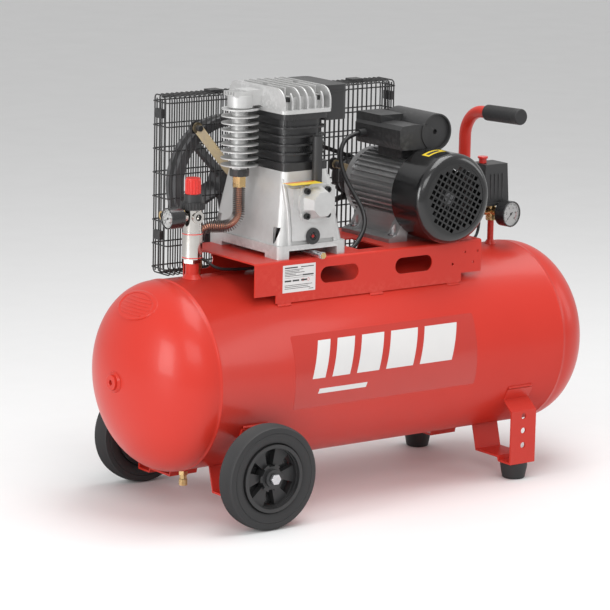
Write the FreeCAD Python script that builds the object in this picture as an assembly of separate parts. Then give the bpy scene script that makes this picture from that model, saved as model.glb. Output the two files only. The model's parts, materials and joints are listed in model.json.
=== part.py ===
import FreeCAD, Part
import math
import os

V = FreeCAD.Vector

# Belt-driven twin-cylinder air compressor on a horizontal tank.
# Working frame: X along the tank, +Y to the belt side, +Z up, floor at z = 0.
# At the end every piece is moved so that the origin is the middle of the bounding box's bottom face.

# ---- driving dimensions, mm ----
# tank
TANK_R = 185.0
TANK_WALL = 3.0
TANK_LEN = 838.0
HEAD_DEPTH = 122.0
HEAD_SKIRT = 9.0
POLE_FLAT_R = 3.0
TANK_RIDE = 82.0
AXIS_Z = TANK_RIDE + TANK_R
TANK_TOP = AXIS_Z + TANK_R
SEAM_BEAD = 1.4
PORT_R = 7.0
POST_R = 13.0
POST_TOP = TANK_TOP + 30.0
POST_X = -366.0
SWITCH_POST_R = 6.5
SWITCH_POST_TOP = TANK_TOP + 49.0
SWITCH_X = 372.0
DRAIN_X = -380.0
DRAIN_R = 9.0
PLUG_R = 15.0
PLUG_BOSS_R = 21.0
# platform
PLAT_X0 = -304.0
PLAT_X1 = 249.0
PLAT_HALF_W = 122.0
PLAT_TOP = TANK_TOP + 40.0
PLAT_T = 3.0
FLANGE_END_Z = TANK_TOP - 25.0
FLANGE_GAP = 4.0
SLOT_L = 92.0
SLOT_H = 32.0
SLOT_Z = TANK_TOP + 4.0
# supports, wheels and feet
BRACKET_X = 322.0
BRACKET_W = 64.0
BRACKET_T = 4.0
BRACKET_Y = TANK_R - 4.0
BRACKET_BASE_Z = 38.0
BRACKET_HOLE_R = 6.2
BRACKET_HOLE_PITCH = 30.0
WHEEL_R = 102.0
WHEEL_W = 43.0
WHEEL_IN_Y = TANK_R + 10.5
WHEEL_X = -334.0
HUB_R = 66.0
AXLE_R = 6.0
RUN_CLEAR = 0.05
FOOT_R = 27.5
FOOT_LOW_R = 23.0
FOOT_Y = TANK_R - 27.0
# pump
PUMP_X = -161.0
PUMP_Y = 7.0
PUMP_HALF_W = 81.0
PUMP_HALF_L = 119.0
PUMP_FOOT_H = 20.0
CASE_TOP = PLAT_TOP + 165.0
CASE_TOP_HALF_W = 53.0
CASE_TOP_HALF_L = 94.0
CASE_WALL = 7.0
CRANK_Z = PLAT_TOP + 107.0
BORE_R = 32.5
BORE_PITCH = 84.0
STROKE = 46.0
PISTON_H = 50.0
JOURNAL_R = 17.5
COVER_R = 39.0
COVER_BOLT_HALF = 24.5
SCREW_HEAD_R = 6.0
BLOCK_TOP = CASE_TOP + 111.0
BLOCK_HALF_W = 46.0
BLOCK_HALF_L = 86.0
FIN_OUT = 8.0
FIN_T = 4.0
HEAD_FLANGE_T = 7.0
HEAD_TOP = BLOCK_TOP + 48.0
HEAD_HALF_W = 58.0
HEAD_HALF_L = 97.0
HEAD_FIN_PITCH = 18.0
HEAD_FIN_T = 3.2
# delivery line
COOLER_X = -254.0
COOLER_R = 36.5
COOLER_CORE_R = 16.5
COOLER_FINS = 9
COOLER_PITCH = 13.6
COOLER_BASE = CASE_TOP + 1.0
PIPE_R = 6.0
PIPE_FIN_R = 12.0
VALVE_X = -332.0
VALVE_Y = 40.0
# drive
BELT_Y = 187.0
FLYWHEEL_R = 131.0
FLYWHEEL_W = 34.0
PULLEY_R = 40.0
PULLEY_W = 26.0
BELT_W = 13.0
BELT_H = 8.0
BELT_CLEAR = 0.6
SHAFT_NOSE_R = 14.0
# motor
MOTOR_X = 152.0
MOTOR_R = 66.0
MOTOR_FIN_H = 7.0
MOTOR_FIN_R = MOTOR_R + MOTOR_FIN_H
MOTOR_Y0 = -70.0
MOTOR_Y1 = 100.0
STATOR_BORE_R = 46.0
ROTOR_GAP = 0.5
MOTOR_SHAFT_R = 12.0
FAN_COVER_ROOM = 17.0
FAN_COVER_R = MOTOR_FIN_R + FAN_COVER_ROOM
FAN_COVER_GAP = 2.0
MOTOR_Z = PLAT_TOP + FAN_COVER_R + FAN_COVER_GAP
FAN_COVER_T = 2.0
FAN_FACE_Y = -158.0
GRILLE_R = 68.0
GRILLE_PITCH = 11.5
GRILLE_HOLE = 8.0
CAP_R = 37.0
FOOT_HALF_W = 97.0
FOOT_L = 155.0
BOX_Y0 = -60.0
BOX_Y1 = 87.0
BOX_RISE = 15.0
# guard
GUARD_X0 = -320.0
GUARD_X1 = 241.0
GUARD_Y0 = 155.0
GUARD_Y1 = 215.0
GUARD_Z0 = TANK_TOP - 28.0
GUARD_Z1 = TANK_TOP + 326.0
WIRE_R = 1.4
WIRE_BEND = 8.0
WIRE_PITCH = 11.7
ROWS = 8
SHAFT_GAP_R = 36.0
# handle
HANDLE_X = 397.0
HANDLE_Y = 122.0
HANDLE_Z = TANK_TOP + 259.0
HANDLE_R = 12.5
HANDLE_WALL = 2.0
HANDLE_BEND = 62.0
GRIP_L = 108.0
GRIP_END = -57.0
GRIP_RISE = 7.0
GRIP_R = 16.5
# regulator and switch
REG_BODY_R = 18.0
BOWL_R = 19.5
REG_TOP = TANK_TOP + 134.0
KNOB_R = 15.0
KNOB_H = 31.0
BONNET_H = 15.0
GAUGE_SMALL_R = 20.5
GAUGE_LARGE_R = 26.5
PORT_Z = TANK_TOP + 120.0
BOX_TOP = TANK_TOP + 168.0
BOX_BASE = TANK_TOP + 83.0
GAUGE_TURN = 9.0
MOVE_GAP = 0.4
CORD_R = 4.5
CABLE_Y = 15.0
TUBE_R = 3.0

X_AX = V(1, 0, 0)
Y_AX = V(0, 1, 0)
Z_AX = V(0, 0, 1)
PARTS = {}


def box(x0, x1, y0, y1, z0, z1):
    return Part.makeBox(x1 - x0, y1 - y0, z1 - z0, V(x0, y0, z0))


def cyl(p, axis, r, h):
    return Part.makeCylinder(r, h, V(*p), axis)


def cone(p, axis, r0, r1, h):
    return Part.makeCone(r0, r1, h, V(*p), axis)


def ring(p, axis, r_out, r_in, h):
    return cyl(p, axis, r_out, h).cut(cyl(p, axis, r_in, h))


def prism(points, direction):
    """A closed polygon of 3-D points swept along a vector."""
    wire = Part.makePolygon([V(*p) for p in points] + [V(*points[0])])
    return Part.Face(wire).extrude(V(*direction))


def hexagon(p, axis, flats, h):
    """A hexagonal prism, its length along one of the frame's axes."""
    r = flats / math.sqrt(3)
    pts = []
    for i in range(6):
        a, b = r * math.cos(math.radians(60 * i)), r * math.sin(math.radians(60 * i))
        if axis.z:
            pts.append((p[0] + a, p[1] + b, p[2]))
        elif axis.y:
            pts.append((p[0] + a, p[1], p[2] + b))
        else:
            pts.append((p[0], p[1] + a, p[2] + b))
    return prism(pts, (axis.x * h, axis.y * h, axis.z * h))


def slab(half_x, half_y, centre, z0, z1, r):
    """A rounded rectangle about a centre, between two heights."""
    s = box(centre[0] - half_x, centre[0] + half_x, centre[1] - half_y, centre[1] + half_y, z0, z1)
    edges = [e for e in s.Edges if abs(e.tangentAt(e.FirstParameter).z) > 0.9]
    return s.makeFillet(min(r, 0.45 * min(half_x, half_y) * 2), edges)


def taper(low, high, centre, z0, z1, r):
    """A loft between two rounded rectangles, low and high as (half_x, half_y)."""
    wires = []
    for half, z in ((low, z0), (high, z1)):
        s = slab(half[0], half[1], centre, z, z + 1.0, r)
        face = min(s.Faces, key=lambda f: f.CenterOfMass.z)
        wires.append(face.OuterWire)
    return Part.makeLoft(wires, True, True)


def turned(profile, p, axis):
    """A profile of (along, radius) points revolved about an axis through p."""
    side = V(0, 0, 1) if abs(axis.z) < 0.5 else V(1, 0, 0)
    base = V(*p)
    pts = [base + axis * a + side * r for a, r in profile]
    wire = Part.makePolygon(pts + [pts[0]])
    return Part.Face(wire).revolve(base, axis, 360)


def tank_round(r, extra=0.0):
    """The tank's own cylinder, used to fit pieces to it."""
    half = TANK_LEN / 2 + extra
    return cyl((-half, 0, AXIS_Z), X_AX, r, 2 * half)


def path(points, radii):
    """Straight runs joined by tangent arcs, as one wire."""
    pts = [V(*p) for p in points]
    edges = []
    start = pts[0]
    for i in range(1, len(pts) - 1):
        a = (pts[i - 1] - pts[i]).normalize()
        b = (pts[i + 1] - pts[i]).normalize()
        half = a.getAngle(b) / 2
        back = radii[i - 1] / math.tan(half)
        p0, p1 = pts[i] + a * back, pts[i] + b * back
        mid = (a + b).normalize()
        centre = pts[i] + mid * (radii[i - 1] / math.sin(half))
        pm = centre - mid * radii[i - 1]
        if (p0 - start).Length > 1e-6:
            edges.append(Part.makeLine(start, p0))
        edges.append(Part.Arc(p0, pm, p1).toShape())
        start = p1
    edges.append(Part.makeLine(start, pts[-1]))
    return Part.Wire(edges)


def rod(points, radii, r, inner=0.0):
    """A round bar or tube along a path."""
    wire = path(points, radii)
    d = (V(*points[1]) - V(*points[0])).normalize()

    def sweep(radius):
        section = Part.Wire([Part.makeCircle(radius, V(*points[0]), d)])
        return wire.makePipeShell([section], True, False)

    solid = sweep(r)
    return solid.cut(sweep(inner)) if inner else solid


def cord_radii(points):
    """Arc radii for a cord: 0.45 of the shorter run over the tangent of half the turn."""
    pts = [V(*p) for p in points]
    out = []
    for i in range(1, len(pts) - 1):
        a, b = pts[i] - pts[i - 1], pts[i + 1] - pts[i]
        out.append(0.45 * min(a.Length, b.Length) / math.tan(a.getAngle(b) / 2))
    return out


def fuse(shapes):
    shapes = list(shapes)
    s = shapes[0]
    if len(shapes) > 1:
        s = s.multiFuse(shapes[1:])
    return s.removeSplitter()


def cut(shape, tools):
    return shape.cut(Part.makeCompound(list(tools))) if tools else shape


def add(name, *shapes):
    """Store a node: one or more separate solids."""
    solids = []
    for s in shapes:
        solids += s.Solids
    PARTS[name] = solids


def mirror_y(shape, y=0.0):
    return shape.mirror(V(0, y, 0), Y_AX)


# ---- tank ----
def dished(r, depth, skirt, start):
    """A solid head along +X from start: a short skirt and half an ellipse with a small flat at its pole."""
    arc = Part.ArcOfEllipse(Part.Ellipse(V(start + skirt, 0, r), V(start + depth, 0, 0),
                                         V(start + skirt, 0, 0)),
                            0, math.pi / 2 - POLE_FLAT_R / r).toShape()
    ends = sorted((arc.Vertexes[0].Point, arc.Vertexes[1].Point), key=lambda p: p.x)
    pole = V(ends[1].x, 0, 0)
    lines = [Part.makeLine(V(start, 0, 0), V(start, 0, r)), Part.makeLine(V(start, 0, r), ends[0]), arc,
             Part.makeLine(ends[1], pole), Part.makeLine(pole, V(start, 0, 0))]
    face = Part.Face(Part.Wire(Part.__sortEdges__(lines)))
    s = face.revolve(V(0, 0, 0), X_AX, 360)
    s.translate(V(0, 0, AXIS_Z))
    return s


def tank_head():
    seam = TANK_LEN / 2
    outer = dished(TANK_R, HEAD_DEPTH, HEAD_SKIRT, seam)
    inner = dished(TANK_R - TANK_WALL, HEAD_DEPTH - TANK_WALL, HEAD_SKIRT, seam)
    bead = turned([(0, TANK_R - 1), (0, TANK_R + SEAM_BEAD), (3, TANK_R + SEAM_BEAD), (5, TANK_R - 1)],
                  (seam, 0, AXIS_Z), X_AX)
    return outer.fuse(bead).cut(inner)


def tank():
    seam = TANK_LEN / 2
    shell = tank_round(TANK_R).cut(tank_round(TANK_R - TANK_WALL, 1))
    ports = [cyl((x, y, AXIS_Z), d, PORT_R if r is None else r, TANK_R + 10) for x, y, d, r in
             ((POST_X, 0, Z_AX, None), (SWITCH_X, 0, Z_AX, 3.0), (DRAIN_X, 0, -Z_AX, 4.0),
              (VALVE_X, VALVE_Y, Z_AX, 5.0))]
    add("tank_shell", cut(shell, ports))
    right = tank_head()
    left = right.mirror(V(0, 0, 0), X_AX)
    # raised oval plate on the left head
    skin = dished(TANK_R + 1.0, HEAD_DEPTH + 1.0, HEAD_SKIRT, seam).mirror(V(0, 0, 0), X_AX)
    under = dished(TANK_R - 1.5, HEAD_DEPTH - 1.5, HEAD_SKIRT, seam).mirror(V(0, 0, 0), X_AX)
    oval = Part.Face(Part.Wire([Part.Ellipse(V(-600, 62, AXIS_Z + 145), V(-600, 0, AXIS_Z + 171),
                                             V(-600, 0, AXIS_Z + 145)).toShape()])).extrude(V(180, 0, 0))
    left = left.fuse(skin.cut(under).common(oval))
    apex = -(seam + HEAD_DEPTH)
    hole = cyl((apex - 10, 0, AXIS_Z), X_AX, PLUG_R - 3, 40)
    add("tank_head_left", left.cut(hole))
    add("tank_head_right", right)
    solid_head = dished(TANK_R, HEAD_DEPTH, HEAD_SKIRT, seam).mirror(V(0, 0, 0), X_AX)
    boss = cone((apex - 4, 0, AXIS_Z), X_AX, PLUG_BOSS_R - 3, PLUG_BOSS_R + 4, 12).cut(solid_head)
    boss = boss.cut(cyl((apex - 10, 0, AXIS_Z), X_AX, PLUG_R - 3, 40))
    plug = cyl((apex - 9, 0, AXIS_Z), X_AX, PLUG_R, 5).fuse(cyl((apex - 4, 0, AXIS_Z), X_AX, PLUG_R - 3, 14))
    plug = plug.cut(hexagon((apex - 10, 0, AXIS_Z), X_AX, 10.0, 8))
    add("end_plug", plug)
    body = tank_round(TANK_R)
    post = ring((POST_X, 0, AXIS_Z + TANK_R - 5), Z_AX, POST_R, PORT_R, POST_TOP - AXIS_Z - TANK_R + 5)
    flare = cone((POST_X, 0, AXIS_Z + TANK_R - 6), Z_AX, POST_R + 11, POST_R, 14).cut(
        cyl((POST_X, 0, AXIS_Z), Z_AX, POST_R, 300))
    post2 = ring((SWITCH_X, 0, AXIS_Z + TANK_R - 5), Z_AX, SWITCH_POST_R, 3.0,
                 SWITCH_POST_TOP - AXIS_Z - TANK_R + 5)
    flare2 = cone((SWITCH_X, 0, AXIS_Z + TANK_R - 4), Z_AX, SWITCH_POST_R + 9, SWITCH_POST_R, 13).cut(
        cyl((SWITCH_X, 0, AXIS_Z), Z_AX, SWITCH_POST_R, 300))
    drain = ring((DRAIN_X, 0, AXIS_Z - TANK_R - 8), Z_AX, DRAIN_R + 3, 4.0, 12)
    add("tank_posts", fuse([post, flare]).cut(body), fuse([post2, flare2]).cut(body), drain.cut(body), boss)


def drain_valve():
    top = AXIS_Z - TANK_R - 8
    body = fuse([hexagon((DRAIN_X, 0, top - 9), Z_AX, 17.0, 9), cyl((DRAIN_X, 0, top - 17), Z_AX, 7.0, 8)])
    body = body.cut(cyl((DRAIN_X, 0, top - 20), Z_AX, 3.0, 20))
    add("drain_valve_body", body)
    stem = cyl((DRAIN_X, 0, top - 30), Z_AX, 3.0 - RUN_CLEAR, 20)
    knob = [cyl((DRAIN_X, 0, top - 30), Z_AX, 7.5, 12.5)]
    for i in range(8):
        a = math.radians(45 * i)
        knob.append(cyl((DRAIN_X + 7.2 * math.cos(a), 7.2 * math.sin(a), top - 30), Z_AX, 1.2, 12.5))
    add("drain_valve_knob", fuse([stem] + knob))


# ---- platform ----
def slot(x, z, length, side):
    h = SLOT_H / 2
    y = side * (PLAT_HALF_W - 10)
    d = V(0, side, 0)
    ends = [cyl((x + s * (length / 2 - h), y, z), d, h, 20) for s in (-1, 1)]
    mid = box(x - length / 2 + h, x + length / 2 - h, min(y, y + 20 * side), max(y, y + 20 * side), z - h,
              z + h)
    return fuse(ends + [mid])


def pump_feet():
    return [(PUMP_X + sx * (PUMP_HALF_W - 14), PUMP_Y + sy * (PUMP_HALF_L - 24)) for sx in (-1, 1)
            for sy in (-1, 1)]


def motor_feet():
    mid = MOTOR_Y0 + FOOT_L / 2
    return [(MOTOR_X + sx * (FOOT_HALF_W - 22), mid + sy * 62) for sx in (-1, 1) for sy in (-1, 1)]


def platform():
    w, t, top = PLAT_HALF_W, PLAT_T, PLAT_TOP
    edge = TANK_R * math.cos(math.asin(w / TANK_R)) + AXIS_Z
    low = edge + FLANGE_GAP
    outer = box(PLAT_X0, PLAT_X1, -w, w, low - 20, top)
    rails = [e for e in outer.Edges if abs(e.tangentAt(0).x) > 0.9 and e.CenterOfMass.z > top - 1]
    outer = outer.makeFillet(5.0, rails)
    inner = box(PLAT_X0 - 1, PLAT_X1 + 1, -w + t, w - t, low - 30, top - t)
    under = [e for e in inner.Edges if abs(e.tangentAt(0).x) > 0.9 and e.CenterOfMass.z > top - 5]
    inner = inner.makeFillet(2.5, under)
    s = outer.cut(inner)
    step = 50.0
    cuts = []
    for x0, x1, z in ((PLAT_X0 - 1, PLAT_X0 + step, FLANGE_END_Z),
                      (PLAT_X1 - step, PLAT_X1 + 1, FLANGE_END_Z)):
        cuts.append(box(x0, x1, -w - 5, w + 5, low - 40, z))
    mid = (PLAT_X0 + PLAT_X1) / 2
    tabs = (PLAT_X0 + step + 20, mid + 15, PLAT_X1 - step - 20)
    x = PLAT_X0 + step - 1
    for tab in list(tabs) + [PLAT_X1]:
        if tab - 15 > x:
            cuts.append(box(x, min(tab - 15, PLAT_X1 - step + 1), -w - 5, w + 5, low - 40, low))
        x = tab + 15
    s = cut(s, cuts)
    holes = []
    for side in (-1, 1):
        holes += [slot(x, SLOT_Z, SLOT_L, side) for x in (PLAT_X0 + 201, PLAT_X1 - 170)]
        for dx, dz in ((41, -23), (9, -23), (72, -45), (20, -45)):
            holes.append(cyl((PLAT_X1 - dx, side * (w - 10), top + dz), V(0, side, 0), 2.8, 20))
    holes.append(slot(PLAT_X0 + 42, SLOT_Z, 56, 1))
    for x, y in pump_feet() + motor_feet():
        holes.append(cyl((x, y, top - 10), Z_AX, 5.0, 20))
    holes.append(box(-36, 28, -92, 15, top - 10, top + 10))
    s = cut(s, holes).cut(tank_round(TANK_R))
    add("platform", s)


# ---- supports, wheels, feet ----
def bracket(x, side, hole_x, hole_z):
    """A bent strap: welded on the tank's side, down, under the foot, and up to the tank's belly."""
    y, t, b = BRACKET_Y, BRACKET_T, BRACKET_BASE_Z
    belly = 62.0
    belly_z = AXIS_Z - math.sqrt(TANK_R ** 2 - belly ** 2) + 5
    hug = [(math.cos(math.radians(a)), math.sin(math.radians(a))) for a in (25.0, 29.0, 33.0)]
    line = [((TANK_R - 2) * c, AXIS_Z - (TANK_R - 2) * q) for c, q in hug]
    offset = [((TANK_R + t) * c, AXIS_Z - (TANK_R + t) * q) for c, q in hug]
    bend = AXIS_Z - TANK_R * 0.68
    line += [(y, bend), (y, b), (148.0, b), (145.0, b + 8), (76.0, b + 8), (belly, belly_z)]
    offset += [(y + t, bend + 2), (y + t, b - t), (148.0 - 2, b - t), (145.0 - 2.5, b + 8 - t),
               (76.0 - 2.5, b + 8 - t),
               (belly - t, belly_z)]
    pts = [(x - BRACKET_W / 2, side * p, z) for p, z in line + offset[::-1]]
    s = prism(pts, (BRACKET_W, 0, 0))
    s = s.cut(tank_round(TANK_R))
    s = max(s.Solids, key=lambda q: q.Volume)
    holes = [cyl((hole_x, side * (y - 5), hole_z + k * BRACKET_HOLE_PITCH), V(0, side, 0), BRACKET_HOLE_R, 20)
             for k in (-1, 0, 1)]
    holes.append(cyl((x, side * FOOT_Y, b - 20), Z_AX, 4.2, 60))
    return cut(s, holes)


def supports():
    places = ((WHEEL_X + 4, WHEEL_X), (BRACKET_X, BRACKET_X))
    add("support_brackets", *[bracket(x, side, hole_x, WHEEL_R) for x, hole_x in places for side in (-1, 1)])


def wheel(side):
    """Tyre and hub about an axis along Y, both on one side of the tank."""
    d = V(0, side, 0)
    y0 = side * WHEEL_IN_Y
    c = (WHEEL_X, y0, WHEEL_R)
    crown, w = WHEEL_R, WHEEL_W
    tyre = turned([(0, HUB_R), (0, crown - 14), (5, crown - 4), (12, crown), (w - 12, crown),
                   (w - 5, crown - 4),
                   (w, crown - 14), (w, HUB_R)], c, d)
    grooves = [ring((WHEEL_X, y0 + side * (w / 2 + k * 4.2 - 0.7), WHEEL_R), d, crown + 1, crown - 1.3, 1.4)
               for k in range(-2, 3)]
    tyre = cut(tyre, grooves)
    rim = ring(c, d, HUB_R, HUB_R - 7, w)
    web = ring((WHEEL_X, y0 + side * 12, WHEEL_R), d, HUB_R - 6, 12, w - 20)
    gaps = []
    for i in range(6):
        a0 = math.radians(60 * i + 14)
        a1 = math.radians(60 * i + 46)
        pts = [(WHEEL_X + r * math.cos(a), y0 + side * 5, WHEEL_R + r * math.sin(a))
               for r, a in ((23, a0), (HUB_R - 9, a0 + 0.05), (HUB_R - 9, a1 - 0.05), (23, a1))]
        gaps.append(prism(pts, (0, side * (w + 5), 0)))
    dish = turned([(w - 16, 24), (w - 16, HUB_R - 9), (w + 1, HUB_R - 9), (w + 1, 30)], c, d)
    web = cut(web, gaps + [dish])
    boss = cyl((WHEEL_X, y0 + side * 1.0, WHEEL_R), d, 17, w - 2)
    hub = fuse([rim, web, boss]).cut(cyl((WHEEL_X, y0 - side * 5, WHEEL_R), d, AXLE_R + RUN_CLEAR, w + 10))
    return tyre, hub


def wheels():
    for name, side in (("front", -1), ("rear", 1)):
        tyre, hub = wheel(side)
        add("tyre_" + name, tyre)
        add("hub_" + name, hub)
    bolts = []
    for side in (-1, 1):
        d = V(0, side, 0)
        y = BRACKET_Y
        c = lambda dy: (WHEEL_X, side * (y + dy), WHEEL_R)
        out = WHEEL_IN_Y + WHEEL_W + MOVE_GAP - y
        shank = cyl(c(-14), d, AXLE_R, out + 14)
        head = hexagon(c(out), d, 19.0, 7.0)
        collar = cyl(c(BRACKET_T), d, 10.0, WHEEL_IN_Y - y - BRACKET_T - MOVE_GAP)
        nut = hexagon(c(-10), d, 19.0, 10.0).cut(cyl(c(-20), d, AXLE_R, 40))
        bolts += [fuse([shank, head, collar]), nut]
    add("axle_bolts", *bolts)


def feet():
    solids = []
    for side in (-1, 1):
        p = (BRACKET_X, side * FOOT_Y, 0)
        low = BRACKET_BASE_Z - BRACKET_T
        s = turned([(0, 0), (0, FOOT_LOW_R - 2), (2, FOOT_LOW_R), (low - 8, FOOT_R), (low, FOOT_R),
                    (low, 0)], p, Z_AX)
        s = s.cut(cyl(p, Z_AX, 9.0, 10)).cut(cyl(p, Z_AX, 4.0, 60))
        solids.append(s)
    add("rubber_feet", *solids)


# ---- pump ----
def pump_c():
    return (PUMP_X, PUMP_Y)


def crankcase():
    c = pump_c()
    z0 = PLAT_TOP
    skirt_top = z0 + 26
    skirt = slab(PUMP_HALF_W, PUMP_HALF_L, c, z0, skirt_top, 10)
    arch_x = box(c[0] - PUMP_HALF_W + 24, c[0] + PUMP_HALF_W - 24, -400, 400, z0 - 1, z0 + PUMP_FOOT_H - 4)
    arch_y = box(-600, 400, c[1] - PUMP_HALF_L + 46, c[1] + PUMP_HALF_L - 46, z0 - 1, z0 + PUMP_FOOT_H - 12)
    body = taper((PUMP_HALF_W - 4, PUMP_HALF_L - 5), (CASE_TOP_HALF_W, CASE_TOP_HALF_L), c, skirt_top,
                 CASE_TOP, 14)
    front = PUMP_Y - PUMP_HALF_L
    house = prism([(c[0] - 50, front, skirt_top + 8), (c[0] + 50, front, skirt_top + 8),
                   (c[0] + 50, front, CRANK_Z + 29),
                   (c[0] - 50, front, CRANK_Z + 29)], (0, 40, 0))
    rear = cyl((c[0], c[1] + 80, CRANK_Z), Y_AX, 34, PUMP_HALF_L - 80 + 4)
    s = fuse([skirt.cut(arch_x).cut(arch_y), body, house, rear])
    w = CASE_WALL
    inner = taper((PUMP_HALF_W - 4 - w, PUMP_HALF_L - 5 - w - 4),
                  (CASE_TOP_HALF_W - w, CASE_TOP_HALF_L - w - 2), c,
                  z0 + PUMP_FOOT_H, CASE_TOP - w, 10)
    tools = [inner, cyl((c[0], front - 1, CRANK_Z), Y_AX, 30, 60),
             cyl((c[0], c[1] + 60, CRANK_Z), Y_AX, JOURNAL_R + RUN_CLEAR, 80)]
    for sy in (-1, 1):
        tools.append(cyl((c[0], c[1] + sy * BORE_PITCH / 2, CASE_TOP - 20), Z_AX, BORE_R, 30))
    for x, y in pump_feet():
        tools += [cyl((x, y, z0 - 5), Z_AX, 4.5, 60), cyl((x, y, skirt_top), Z_AX, 9.5, 34)]
    tools.append(cyl((c[0] - 2, front - 5, z0 + 41), Y_AX, 11, 40))
    s = cut(s, tools)
    add("crankcase", max(s.Solids, key=lambda q: q.Volume))


def crank_cover():
    front = PUMP_Y - PUMP_HALF_L
    x, z = PUMP_X, CRANK_Z
    disc = cyl((x, front - 8, z), Y_AX, COVER_R, 8)
    lugs = [cyl((x + sx * COVER_BOLT_HALF, front - 8, z + sz * COVER_BOLT_HALF), Y_AX, 10, 8)
            for sx in (-1, 1) for sz in (-1, 1)]
    r0, r1 = 33.0, 25.0
    rings = []
    for r, y in ((r0, front - 8), (r1, front - 33)):
        pts = [V(x + r * math.cos(math.radians(22.5 + 45 * i)), y,
                 z + r * math.sin(math.radians(22.5 + 45 * i))) for i in range(9)]
        rings.append(Part.makePolygon(pts))
    boss = Part.makeLoft(rings, True, True)
    spigot = cyl((x, front, z), Y_AX, 30, 8)
    s = fuse([disc, boss, spigot] + lugs).cut(cyl((x, front - 20, z), Y_AX, JOURNAL_R + RUN_CLEAR, 60))
    holes = [cyl((x + sx * COVER_BOLT_HALF, front - 20, z + sz * COVER_BOLT_HALF), Y_AX, 3.2, 40)
             for sx in (-1, 1) for sz in (-1, 1)]
    holes += [cyl((x + sx * COVER_BOLT_HALF, front - 40, z + sz * COVER_BOLT_HALF), Y_AX,
                  SCREW_HEAD_R + 0.5, 32)
              for sx in (-1, 1) for sz in (-1, 1)]
    add("crank_cover", cut(s, holes))
    case = PARTS["crankcase"][0]
    blind = [cyl((x + sx * COVER_BOLT_HALF, front - 1, z + sz * COVER_BOLT_HALF), Y_AX, 3.2, 17)
             for sx in (-1, 1) for sz in (-1, 1)]
    PARTS["crankcase"] = cut(case, blind).Solids


def socket_screw(p, axis, r_head, h_head, r, length):
    """Head above p along axis, shank below it, with a hexagon socket."""
    s = fuse([cyl(p, axis, r_head, h_head), cyl((V(*p) - axis * length)[:], axis, r, length)])
    top = V(*p) + axis * h_head * 0.45
    return s.cut(hexagon(top[:], axis, r_head * 0.95, h_head))


def head_bolts():
    return [(PUMP_X + sx * 38, PUMP_Y + dy) for sx in (-1, 1) for dy in (-76, 0, 76)]


def pump_screws():
    front = PUMP_Y - PUMP_HALF_L
    x, z = PUMP_X, CRANK_Z
    solids = [socket_screw((x + sx * COVER_BOLT_HALF, front - 8, z + sz * COVER_BOLT_HALF), V(0, -1, 0),
                           SCREW_HEAD_R, 6.5, 3.2, 22)
              for sx in (-1, 1) for sz in (-1, 1)]
    solids += [socket_screw((bx, by, BLOCK_TOP + 22), Z_AX, 7.5, 8.0, 4.0, 52) for bx, by in head_bolts()]
    add("pump_screws", *solids)


def crankshaft():
    x, z = PUMP_X, CRANK_Z
    y_f, y_r = PUMP_Y - BORE_PITCH / 2, PUMP_Y + BORE_PITCH / 2
    web_r = STROKE / 2 + 16
    front = PUMP_Y - PUMP_HALF_L
    pieces = [cyl((x, front - 15, z), Y_AX, JOURNAL_R, y_f - 22 - front + 15),
              cyl((x, y_f - 22, z), Y_AX, web_r, 10),
              cyl((x, y_f - 12, z + STROKE / 2), Y_AX, 13, 24),
              cyl((x, y_f + 12, z), Y_AX, web_r, y_r - y_f - 24),
              cyl((x, y_r - 12, z - STROKE / 2), Y_AX, 13, 24), cyl((x, y_r + 12, z), Y_AX, web_r, 10),
              cyl((x, y_r + 22, z), Y_AX, JOURNAL_R, PUMP_Y + PUMP_HALF_L + 8 - y_r - 22),
              cyl((x, PUMP_Y + PUMP_HALF_L + 8, z), Y_AX, SHAFT_NOSE_R,
                  BELT_Y + FLYWHEEL_W / 2 + 4 - PUMP_Y - PUMP_HALF_L - 8)]
    add("crankshaft", fuse(pieces))


def piston(y, crown_z):
    r = BORE_R - RUN_CLEAR
    p = (PUMP_X, y, crown_z - PISTON_H)
    s = turned([(0, r - 5), (0, r), (PISTON_H, r), (PISTON_H, 0), (PISTON_H - 9, 0), (PISTON_H - 9, r - 5)],
               p, Z_AX)
    rings = [ring((PUMP_X, y, crown_z - 8 - 6 * i), Z_AX, r + 1, r - 1.5, 2) for i in range(3)]
    s = cut(s, rings)
    pin = cyl((PUMP_X - r + 3, y, crown_z - 30), X_AX, 8, 2 * r - 6)
    return fuse([s, pin])


def con_rod(y, crown_z):
    """Small end and shank; the shank stops above the crank's sweep, where the linkage is opened."""
    z = crown_z - 30
    end = crown_z - 30 - 40
    eye = ring((PUMP_X - 10, y, z), X_AX, 12, 8.05, 20)
    shank = box(PUMP_X - 6, PUMP_X + 6, y - 8, y + 8, end, z - 10)
    foot = box(PUMP_X - 12, PUMP_X + 12, y - 10, y + 10, end - 5, end)
    return fuse([eye, shank.cut(cyl((PUMP_X - 10, y, z), X_AX, 9, 20)), foot])


def pistons():
    y_f, y_r = PUMP_Y - BORE_PITCH / 2, PUMP_Y + BORE_PITCH / 2
    top = BLOCK_TOP - 1.0
    add("piston_front", piston(y_f, top))
    add("piston_rear", piston(y_r, top - STROKE))
    add("con_rod_front", con_rod(y_f, top))
    add("con_rod_rear", con_rod(y_r, top - STROKE))


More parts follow.
